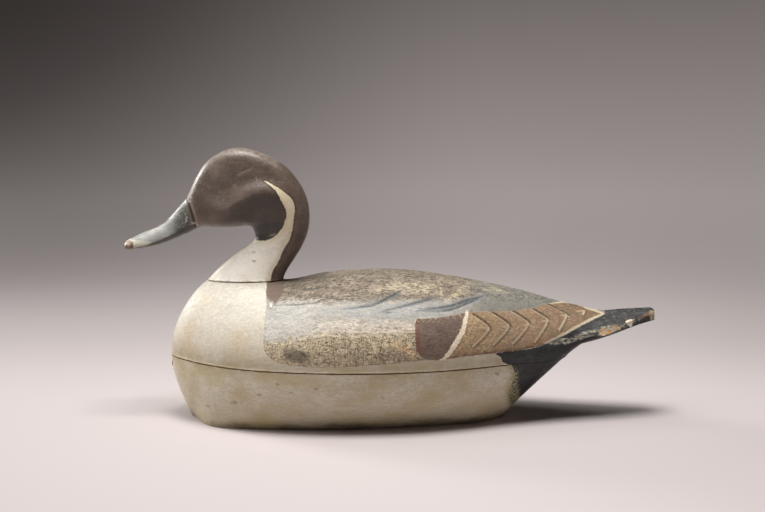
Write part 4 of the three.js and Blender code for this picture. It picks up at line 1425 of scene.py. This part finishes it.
HEAD_BROWN = colour(86, 73, 65)
HEAD_PALE_BROWN = colour(103, 89, 79)
SCRATCH_TAN = colour(150, 136, 124)
HEAD_FLECK = colour(132, 104, 80)
CROWN_WEAR_AND_SHEEN = colour(146, 135, 126)
CHEEK_SHADE = colour(52, 43, 37)
THROAT_BLACK = colour(50, 46, 44)
NECK_BASE_WHITE = colour(250, 246, 236)
WHITE_EDGE = colour(206, 190, 152)
NECK_EDGE_STAIN_AND_SHADE = colour(176, 156, 120)
NECK_JOINT_STAIN = colour(196, 172, 124)
NECK_FRECKLE = colour(172, 150, 116)
STRIPE_CREAM = colour(206, 190, 158)
NECK_MARK = colour(120, 104, 84)
STRIPE_OUTLINE = colour(58, 48, 42)
THROAT_CREASE_SHADE = colour(58, 46, 38)
THROAT_CHIP = colour(140, 131, 120)
BILL_GROOVE_SHADE = colour(30, 27, 25)
BILL_BAND_BROWN = colour(128, 110, 101)
BILL_FLECK = colour(196, 190, 174)
FOREHEAD_WEAR_AND_HIGHLIGHT = colour(198, 190, 176)

HEAD_MARKS = [
    # Lighter grey on the crown: rubbed paint and a painted sheen
    (CROWN_WEAR_AND_SHEEN, "crown", (5, 4, 6, 98), (1.8, 0.3, 0.6, 0.75, 99, (2.4, 1, 1))),
    # Painted shade under the cheek, where the head turns under
    (CHEEK_SHADE, "cheek_shade", (6, 2.5, 6, 97, 0.75)),
    (THROAT_BLACK, "throat_black", (1.2, 1, 3, 104, 0.8)),
    (SCRATCH_TAN, "head_marks", (0.6, 0.5, 2, 105, 0.6)),
]
BILL_ROOT_MARKS = [
    (BILL_BAND_BROWN, "bill_band", (0.5, 0.7, 1.8, 118, 0.85)),
    (BILL_FLECK, "bill_flecks", (0.5, 0.8, 1.2, 119), (0.9, 0.4, 0.55, 0.8, 120)),
    # A pale line along the forehead and the bill's top: worn paint and a painted highlight
    (FOREHEAD_WEAR_AND_HIGHLIGHT, "forehead_wear_and_highlight", (1.4, 1.4, 2.6, 92), (1.5, 0.4, 0.62, 0.45, 91, (2, 1, 1))),
]


def brown_head_paint(job):
    """Brown, mottled and scratched, with a painted sheen on the crown and painted shade under the cheek.
    Gives the coat and the scratches, which stand out in the relief.
    """
    coat = job.patched(HEAD_BROWN, HEAD_PALE_BROWN, 12, 0.35, 0.7, 1, 101, detail=4)
    coat = job.toned(coat, job.ramp(job.noise(1.2, 3, 0.65, (1.8, 1, 1), seed=109), 0.34, 0.66), 0.15)
    scratches = job.patches(0.9, 0.58, 0.7, 0.5, 102, (1, 1, 9), turn=0.75)
    coat = job.over(job.both(scratches, job.patches(9, 0.4, 0.62, 1, 110)), coat, SCRATCH_TAN)
    coat = job.patched(coat, HEAD_FLECK, 1.4, 0.66, 0.73, 0.5, 103)
    for mark in HEAD_MARKS:
        coat = job.marked(coat, *mark)
    return coat, scratches


def white_neck_paint(job):
    """The white of the neck and its stripe: whiter towards the base of the neck, stained low down at the
    joint, and darker at its edges, there partly stained and partly in painted shade.
    """
    coat = cream_paint(job, 0.0)
    # Whiter towards the base of the neck
    toward_base = job.ramp(job.wavered("draw_down", 7, 8, 96), *NECK_BASE_DOWN, 0, 0.7)
    coat = job.over(toward_base, coat, NECK_BASE_WHITE)
    edge = job.ramp(job.wavered("neck_white", 2, 4, 85), 7, 1, 0, 0.5)
    coat = job.over(edge, coat, WHITE_EDGE)
    # A stain along the neck's front edge, and painted shade where the neck turns away
    coat = job.marked(coat, NECK_EDGE_STAIN_AND_SHADE, "neck_edge_stain_and_shade", (6, 3, 5, 82, 0.62))
    at_joint = job.ramp(job.field("neck_near"), 9, 1)
    at_joint = job.both(at_joint, job.patches(6, 0.4, 0.62, 0.6, 86, (2, 1, 1)))
    coat = job.over(at_joint, coat, NECK_JOINT_STAIN)
    freckles = job.both(job.patches(1.5, 0.6, 0.68, 0.7, 84), job.patches(9, 0.4, 0.6, 1, 83))
    coat = job.over(freckles, coat, NECK_FRECKLE)
    stripe = job.ramp(job.field("draw_down"), *STRIPE_DOWN, 0, 0.7)
    coat = job.over(job.both(stripe, job.patches(4, 0.2, 0.6, 1, 95)), coat, STRIPE_CREAM)
    return job.marked(coat, NECK_MARK, "neck_marks", (0.5, 0.6, 1.5, 106, 0.8))


def head_paint():
    job = PaintJob("painted_head")
    brown, scratches = brown_head_paint(job)
    white = white_neck_paint(job)
    white_area = job.field("neck_white")
    brown = job.over(job.ramp(white_area, -3, -0.5, 0, 0.5), brown, STRIPE_OUTLINE)
    coat = job.marked(brown, white, "neck_white", (0.35, 1.3, 2.0, 107))
    # Painted shade in the crease where the jaw meets the throat
    coat = job.marked(coat, THROAT_CREASE_SHADE, "throat_crease_shade", (0.7, 0.6, 1.8, 81, 0.75))
    coat = job.marked(coat, THROAT_CHIP, "throat_chip", (0.5, 0.6, 1.5, 108, 0.65))
    coat = job.over(job.ragged("bill", 0.5, 0.6, 3, 117), coat, bill_paint(job))
    # Painted shade in the carved groove behind the bill
    groove = job.ramp(job.field("bill_groove"), 0.2, 0.9, 0, 0.8)
    coat = job.over(job.both(groove, job.patches(1.6, 0.25, 0.5, 1, 94)), coat, BILL_GROOVE_SHADE)
    for mark in BILL_ROOT_MARKS:
        coat = job.marked(coat, *mark)
    coat = joint_dirt(job, coat, job.field("neck_near"))
    roughness = job.ramp(job.noise(6, 3, 0.6, seed=93), 0.3, 0.7, 0.3, 0.44)
    height = paint_height(job)
    height = job.math("ADD", height, job.math("MULTIPLY", job.ramp(white_area, -0.4, 0.4), 0.7))
    height = job.math("ADD", height, job.math("MULTIPLY", scratches, 0.8))
    return job.finish(coat, roughness, height, 0.2)


# The three pieces

def shares(values, rows):
    """Shares of a half-width for the columns on a flat face, the same at each of the rows."""
    return np.array(values)[None, :] * np.ones((rows, 1))


def rounded_y(half, angle, roundness):
    return half * np.cos(angle) ** (2 / roundness)


def rounded_z(depth, angle, roundness):
    return depth * np.sin(angle) ** (2 / roundness)


def crowded_stations(end, turning_x, usual_spacing):
    """Stations that crowd together towards the breast and towards turning_x."""
    def spacing(x):
        to_end = min(x - BREAST_X, turning_x - x)
        return max(END_SPACING, min(usual_spacing(x), CLOSEST_SPACING + to_end * END_CROWDING))

    return stations(FIRST_STATION_X, end, spacing)


def upper_spacing(x):
    return FEATHER_SPACING_FINE if FEATHERED_X[0] < x < FEATHERED_X[1] else MIDDLE_SPACING


def below_side_line(s, start_half, start_z):
    """Columns of the upper body from the joint up to its widest line."""
    share = start_half / s.half
    depth = (start_z - s.side_low) / (1 - share**s.below) ** (1 / s.below)
    last = np.arccos(share ** (s.below / 2))
    angle = last * (1 - np.linspace(0, 1, SHOULDER_ROWS)[None, :-1] ** 1.5)
    return rounded_y(s.half, angle, s.below), s.side_low + rounded_z(depth, angle, s.below)


def above_side_line(s):
    """Columns of the upper body from its widest line to the ridge, with how far round each is."""
    share = s.top_half / s.half
    depth = (s.top - s.side_top) / (1 - share**s.above) ** (1 / s.above)
    last = np.arccos(share ** (s.above / 2))
    angle = even_angles(s.half, depth, s.above, np.zeros_like(last), last, UPPER_ARC_COLUMNS)
    return rounded_y(s.half, angle, s.above), s.side_top + rounded_z(depth, angle, s.above), angle


def upper_body_grid():
    """Rings of the upper body, how high on the flank each point is, and where the faces are flat."""
    s = Sections(crowded_stations(LAST_STATION_X, TAIL_X, upper_spacing))
    seam = SEAM_HEIGHT + SEAM_GAP / 2
    above_seam = s.bottom >= seam
    start_z = np.where(above_seam, s.bottom, seam)
    start_half = np.where(above_seam, s.bottom_half, s.belly_width_at(np.minimum(seam, s.side_low)))
    flat = shares([0, 0.5, 0.85, 0.97], len(s.x))
    low_y, low_z = below_side_line(s, start_half, start_z)
    band = np.linspace(0, 1, BAND_ROWS)[None, :-1]
    band_y = s.half * np.ones_like(band)
    band_z = s.side_low + (s.side_top - s.side_low) * band
    high_y, high_z, angle = above_side_line(s)
    ridge = shares([0.8, 0.55, 0.3, 0], len(s.x))

    flank_y = np.concatenate([start_half * flat, low_y, band_y, high_y, s.top_half * ridge], axis=1)
    flank_z = np.concatenate([start_z + 0 * flat, low_z, band_z, high_z, s.top + 0 * ridge], axis=1)
    rise = np.full(flank_y.shape, -1.0)
    first_high = flat.shape[1] + low_y.shape[1] + band_y.shape[1]
    rise[:, first_high:first_high + UPPER_ARC_COLUMNS] = angle / (math.pi / 2)
    guard = np.ones(flank_y.shape)
    guard[:, :flat.shape[1]] = 0
    guard[:, -ridge.shape[1]:] = np.where(seat_half_width(s.x) > 0, 0, 1)
    return close_up(flank_y, flank_z, s.x), mirror_columns(rise), mirror_columns(guard)


def neck_distance(grid):
    """Distance from the outline of the neck seat, in millimetres."""
    middle = (SEAT_FRONT_X + SEAT_REAR_X) / 2
    reach = (SEAT_REAR_X - SEAT_FRONT_X) / 2
    turn = np.linspace(0, 2 * math.pi, NECK_OUTLINE_POINTS)
    power = 2 / NECK_ROUNDNESS
    outline_x = middle + reach * np.sign(np.cos(turn)) * np.abs(np.cos(turn)) ** power
    outline_y = NECK_HALF_WIDTH * np.sign(np.sin(turn)) * np.abs(np.sin(turn)) ** power
    outline = np.stack([outline_x, outline_y, np.full_like(turn, SEAT_HEIGHT)], axis=-1)
    flat = grid.reshape(-1, 3)
    distance = np.full(len(flat), FAR)
    x, y, z = flat.T
    beside = np.abs(x - middle) < reach + NECK_SURROUND
    near = np.flatnonzero(beside & (np.abs(y) < NECK_SEARCH_WIDTH) & (z > NECK_SEARCH_HEIGHT))
    distance[near] = np.linalg.norm(flat[near, None] - outline[None], axis=-1).min(axis=1)
    return distance.reshape(grid.shape[:2])


def painted_piece(name, carved, fields, tree, paint, sizes):
    """The carved grid as a finished piece. The sizes are the tree's inputs, in metres."""
    mesh = closed_mesh(name + "_base", carved)
    add_fields(mesh, fields)
    return finished_piece("painted_" + name, mesh, tree, paint, sizes)


def make_body_upper(tree):
    grid, rise, guard = upper_body_grid()
    place = drawing_place(grid)
    above_seam = belly_height(grid[..., 0]) >= SEAM_HEIGHT
    seam_near = np.where(above_seam, FAR, grid[..., 2] - SEAM_HEIGHT - SEAM_GAP / 2)
    neck_near = neck_distance(grid)
    edge, arm, feather_cut = feather_fields(grid, rise)
    fields = drawn_fields(place, UPPER_AREAS, UPPER_STROKES)

    black = fields["black_tail"]
    chips = np.maximum(fields["bare_wood"], fields["tail_chip"])
    strokes = np.maximum(fields["dark_strokes"], fields["flank_edge"])
    cut = feather_cut + worn_edge(seam_near) * (black < 0) + worn_edge(neck_near)
    cut = cut + CHIP_DEPTH * smoothstep(chips, *CHIP_EDGE)
    cut = cut + STROKE_GROOVE_DEPTH * smoothstep(strokes, *STROKE_GROOVE_EDGE)

    dabbed = smoothstep(fields["grey_back"], 0, 3)
    dabbed = dabbed * (fields["feather_field"] < 0) * (fields["wing_panel"] < 0)
    fields.update({
        "guard": guard * smoothstep(seam_near, *JOINT_EDGE),
        "dabbed": dabbed,
        "draw_across": place[..., 0],
        "draw_down": place[..., 1],
        "seam_near": np.where(black > -1, FAR, seam_near),
        "neck_near": neck_near,
        "feather_edge": edge,
        "feather_arm": arm,
    })
    sizes = {
        "Hollow Width": 0.028, "Hollow Depth": 0.0005, "Stroke Width": 0.0035, "Stroke Length": 0.03,
        "Stroke Depth": 0.00022, "Dab Width": 0.003, "Dab Depth": 0.0005, "Seed": 3.0,
    }
    return painted_piece("body_upper", carve(grid, cut, guard), fields, tree, body_upper_paint(), sizes)


def lower_body_grid(seam):
    """Rings of the lower body from the planed base to the joint, and where the faces are flat."""
    seam_end = KEEL_END_X + (SEAM_HEIGHT - LOWER_END_BELOW_SEAM) / UNDERTAIL_SLOPE
    s = Sections(crowded_stations(seam_end, seam_end + 2, lambda x: MIDDLE_SPACING))
    share = s.bottom_half / s.half
    first = np.arccos(share ** (s.below / 2))
    last = np.arccos((s.belly_width_at(seam) / s.half) ** (s.below / 2))
    angle = even_angles(s.half, s.belly_depth, s.below, first, last, BELLY_ARC_COLUMNS)
    arc_y = rounded_y(s.half, angle, s.below)
    arc_z = s.side_low - rounded_z(s.belly_depth, angle, s.below)
    base = shares([0, 0.25, 0.5, 0.75, 0.93], len(s.x))
    joint = shares([0.97, 0.85, 0.5, 0], len(s.x))
    flank_y = np.concatenate([s.bottom_half * base, arc_y, arc_y[:, -1:] * joint], axis=1)
    flank_z = np.concatenate([s.bottom + 0 * base, arc_z, arc_z[:, -1:] + 0 * joint], axis=1)
    guard = np.ones(flank_y.shape)
    guard[:, :base.shape[1]] = np.where(s.bottom > 0.5, 1, 0)
    guard[:, -joint.shape[1]:] = 0
    return close_up(flank_y, flank_z, s.x), mirror_columns(guard)


def make_body_lower(tree):
    seam = SEAM_HEIGHT - SEAM_GAP / 2
    grid, guard = lower_body_grid(seam)
    seam_near = seam - grid[..., 2]
    fields = drawn_fields(drawing_place(grid), LOWER_AREAS, LOWER_STROKES)
    black = fields["black_tail"]
    cut = worn_edge(seam_near) * (black < 0)
    off_base = smoothstep(np.maximum(grid[..., 2], 0), *BASE_EDGE)
    fields["guard"] = guard * smoothstep(seam_near, *JOINT_EDGE) * off_base
    fields["seam_near"] = np.where(black > -1, FAR, seam_near)
    sizes = {
        "Hollow Width": 0.032, "Hollow Depth": 0.0005, "Stroke Width": 0.003, "Stroke Length": 0.04,
        "Stroke Depth": 0.00025, "Dab Width": 0.003, "Dab Depth": 0.0, "Seed": 11.0,
    }
    return painted_piece("body_lower", carve(grid, cut, guard), fields, tree, body_lower_paint(), sizes)


def head_grid():
    """Rings of the head, as its solid has them but finer, with the bill tip rounded off."""
    index = np.arange(len(HEAD_RIBS))
    splines = [cubic_through(list(zip(index, column))) for column in zip(*HEAD_RIBS)]
    rib = np.linspace(0, len(HEAD_RIBS) - 1, (len(HEAD_RIBS) - 1) * HEAD_STEPS_PER_RIB + 1)
    rib = np.concatenate([BILL_TIP_PLACES, rib[rib > BILL_TIP_RIB]])[:, None]
    columns = (spline(rib) for spline in splines)
    outer_x, outer_z, inner_x, inner_z, half, widest, below, above, step = columns
    turn = 2 * math.pi * (np.arange(HEAD_RING_POINTS) + 0.5)[None, :] / HEAD_RING_POINTS
    outward = np.cos(turn) < 0
    power = 2 / np.where(outward, above, below)
    across = np.sign(np.sin(turn)) * np.abs(np.sin(turn)) ** power
    reach = np.abs(np.cos(turn)) ** power
    along = np.where(outward, widest + (1 - widest) * reach, widest * (1 - reach))
    brow = smoothstep(along, widest, widest + BROW_RISE)
    y = half * across * (1 - np.maximum(step, 0) * brow)
    rounding = np.sqrt(1 - (1 - np.clip(rib / BILL_TIP_RIB, 0, 1)) ** 2)
    y = y * (BILL_TIP_WIDTH + (1 - BILL_TIP_WIDTH) * rounding)
    along = 0.5 + (along - 0.5) * (BILL_TIP_HEIGHT + (1 - BILL_TIP_HEIGHT) * rounding)
    x = inner_x + (outer_x - inner_x) * along
    z = inner_z + (outer_z - inner_z) * along
    return np.stack([x, y, z], axis=-1)


def make_head(tree):
    grid = head_grid()
    place = drawing_place(grid)
    neck_near = np.maximum(grid[..., 2] - SEAT_HEIGHT - SEAM_GAP, 0)
    fields = drawn_fields(place, HEAD_AREAS, HEAD_STROKES)
    groove = smoothstep(inside_strokes(place, BILL_GAP), *BILL_GROOVE_EDGE)
    groove = groove * smoothstep(place[..., 1], *BILL_GROOVE_TOP_DOWN)
    eye_line = inside_strokes(place, EYE_LINE)
    marks = inside_strokes(place, CHEEK_MARKS)
    cut = worn_edge(neck_near) + BILL_GROOVE_DEPTH * groove
    cut = cut + EYE_LINE_DEPTH * smoothstep(eye_line, *EYE_LINE_EDGE)
    cut = cut + CHEEK_MARK_DEPTH * smoothstep(marks, *CHEEK_MARK_EDGE)
    fields.update({
        "guard": smoothstep(neck_near, *JOINT_EDGE) * smoothstep(grid[..., 0], *SMOOTH_TIP_X),
        "draw_across": place[..., 0],
        "draw_down": place[..., 1],
        "neck_near": neck_near,
        "head_marks": np.maximum(marks, eye_line),
        "bill_groove": groove,
    })
    sizes = {
        "Hollow Width": 0.016, "Hollow Depth": 0.0005, "Stroke Width": 0.003, "Stroke Length": 0.008,
        "Stroke Depth": 0.0002, "Dab Width": 0.003, "Dab Depth": 0.0, "Seed": 23.0,
    }
    carved = carve(grid, cut, np.ones(grid.shape[:2]))
    return painted_piece("head", carved, fields, tree, head_paint(), sizes)


# The studio: a pale floor that sweeps up all round, soft lights, and the camera

FLOOR_RADIUS = 0.85
SWEEP_RADIUS = 1.5
WALL_HEIGHT = 2.6
FLOOR_SIDES = 96
FLOOR_RINGS = 8
SWEEP_RINGS = 20

# The paper: on the floor, painted shade up the wall and to the left, and the shade that falls at the back
FLOOR_PAPER = colour(190, 182, 182)
WALL_PAPER_SHADE = colour(146, 139, 137)
LEFT_PAPER_SHADE = colour(92, 86, 84)
PAPER_SHADE = colour(0, 0, 0)

# The lights: places and sizes in metres, power in watts
KEY_PLACE = (0.0, -0.18, 1.35)
KEY_SIZE = 0.5
KEY_POWER = 20.5
SIDE_PLACE = (-0.65, -0.1, 1.1)
SIDE_SIZE = 1.2
SIDE_POWER = 9.5
RIM_PLACE = (-1.1, 0.6, 0.55)
RIM_SIZE = 0.35
RIM_POWER = 12.0
RIM_AIM = (-0.12, 0, 0.15)
NECK_PLACE = (-0.5, -0.95, 0.3)
NECK_AIM = (-0.135, 0, 0.14)
NECK_POWER = 36.0
NECK_SPREAD = math.radians(7)
NECK_LIGHT_RADIUS = 0.12
BODY_AIM = (0, 0, 0.09)
WARM_WHITE = (1.0, 0.98, 0.95)
SIDE_TINT = (1.0, 0.98, 0.96)
RIM_TINT = (1.0, 0.99, 0.98)
WORLD_TINT = (0.95, 0.96, 1.0, 1.0)
WORLD_STRENGTH = 0.03


def floor_mesh():
    """A round floor whose rim curves up into a wall, so that it looks the same from every side."""
    profile = [(r, 0.0) for r in np.linspace(0, FLOOR_RADIUS, FLOOR_RINGS)]
    for angle in np.linspace(0, math.pi / 2, SWEEP_RINGS)[1:]:
        radius = FLOOR_RADIUS + SWEEP_RADIUS * math.sin(angle)
        profile.append((radius, SWEEP_RADIUS * (1 - math.cos(angle))))
    profile.append((FLOOR_RADIUS + SWEEP_RADIUS, WALL_HEIGHT))
    points = [(0.0, 0.0, 0.0)]
    faces = []
    for radius, height in profile[1:]:
        for side in range(FLOOR_SIDES):
            turn = 2 * math.pi * side / FLOOR_SIDES
            points.append((radius * math.cos(turn), radius * math.sin(turn), height))
    for side in range(FLOOR_SIDES):
        beside = (side + 1) % FLOOR_SIDES
        faces.append((0, 1 + side, 1 + beside))
        for ring in range(len(profile) - 2):
            inner = 1 + ring * FLOOR_SIDES
            outer = inner + FLOOR_SIDES
            faces.append((inner + side, outer + side, outer + beside, inner + beside))
    mesh = bpy.data.meshes.new("studio_floor")
    mesh.from_pydata(points, [], faces)
    mesh.shade_smooth()
    return mesh


def studio_paper():
    """Matt paper, darker in painted shade up the wall, to the left and at the back. Places are in metres.
    """
    job = PaintJob("studio_paper")
    across, back, up = (job.axis(name) for name in "XYZ")
    # Painted shade: the paper darker up the wall and to the left
    paper = job.over(job.ramp(up, 0.0, 0.75), FLOOR_PAPER, WALL_PAPER_SHADE)
    left = job.both(job.ramp(across, 0.25, -0.85), job.ramp(up, -0.1, 0.45, 0.45, 1.0))
    paper = job.over(left, paper, LEFT_PAPER_SHADE)
    far_floor = job.both(job.ramp(back, 0.0, 0.35, 0, 0.16), job.ramp(up, 0.08, 0.0))
    far_left = job.both(job.ramp(across, 0.2, -0.65, 0, 0.4), job.ramp(back, 0.1, 0.8),
                        job.ramp(up, 0.45, 0.0, 0.35, 1))
    paper = job.over(job.math("ADD", far_floor, far_left), paper, PAPER_SHADE)
    job.feed(job.shader.inputs["Base Color"], paper)
    job.shader.inputs["Roughness"].default_value = PAPER_ROUGHNESS
    job.shader.inputs["Specular IOR Level"].default_value = PAPER_SPECULAR
    return job.material


def make_studio_floor():
    mesh = floor_mesh()
    mesh.materials.append(studio_paper())
    floor = bpy.data.objects.new("studio_floor", mesh)
    bpy.context.scene.collection.objects.link(floor)


def hang_light(data, place, power, tint, target):
    data.energy = power
    data.color = tint
    light = bpy.data.objects.new(data.name, data)
    light.location = place
    light.rotation_euler = (Vector(target) - Vector(place)).to_track_quat("-Z", "Y").to_euler()
    light.visible_camera = False
    bpy.context.scene.collection.objects.link(light)


def add_area_light(name, place, size, power, tint, target=BODY_AIM):
    data = bpy.data.lights.new(name, "AREA")
    data.shape = "SQUARE"
    data.size = size
    hang_light(data, place, power, tint, target)


def add_neck_light():
    """A narrow light under the head, which otherwise keeps the key light off the white neck."""
    data = bpy.data.lights.new("neck", "SPOT")
    data.spot_size = NECK_SPREAD
    data.spot_blend = 1.0
    data.shadow_soft_size = NECK_LIGHT_RADIUS
    hang_light(data, NECK_PLACE, NECK_POWER, WARM_WHITE, NECK_AIM)


def make_studio():
    make_studio_floor()
    add_area_light("key", KEY_PLACE, KEY_SIZE, KEY_POWER, WARM_WHITE)
    add_area_light("side", SIDE_PLACE, SIDE_SIZE, SIDE_POWER, SIDE_TINT)
    add_area_light("rim", RIM_PLACE, RIM_SIZE, RIM_POWER, RIM_TINT, RIM_AIM)
    add_neck_light()
    world = bpy.data.worlds.new("studio")
    world.use_nodes = True
    background = world.node_tree.nodes["Background"]
    background.inputs["Color"].default_value = WORLD_TINT
    background.inputs["Strength"].default_value = WORLD_STRENGTH
    bpy.context.scene.world = world
    bpy.context.scene.view_settings.view_transform = "Standard"


def make_camera():
    data = bpy.data.cameras.new("camera")
    data.sensor_fit = "HORIZONTAL"
    data.sensor_width = SENSOR_WIDTH
    data.lens = LENS
    camera = bpy.data.objects.new("camera", data)
    camera.location = Vector(CAMERA_PLACE) * MM
    camera.rotation_euler = (math.pi / 2 - CAMERA_PITCH, 0, 0)
    bpy.context.scene.collection.objects.link(camera)
    bpy.context.scene.camera = camera


make_camera()
make_studio()
surface_tree = worked_surface_tree()

body_upper = make_body_upper(surface_tree)
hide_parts("body_upper")
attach(body_upper, "root")

body_lower = make_body_lower(surface_tree)
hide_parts("body_lower")
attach(body_lower, "root")

head = make_head(surface_tree)
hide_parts("head")
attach(head, "root")
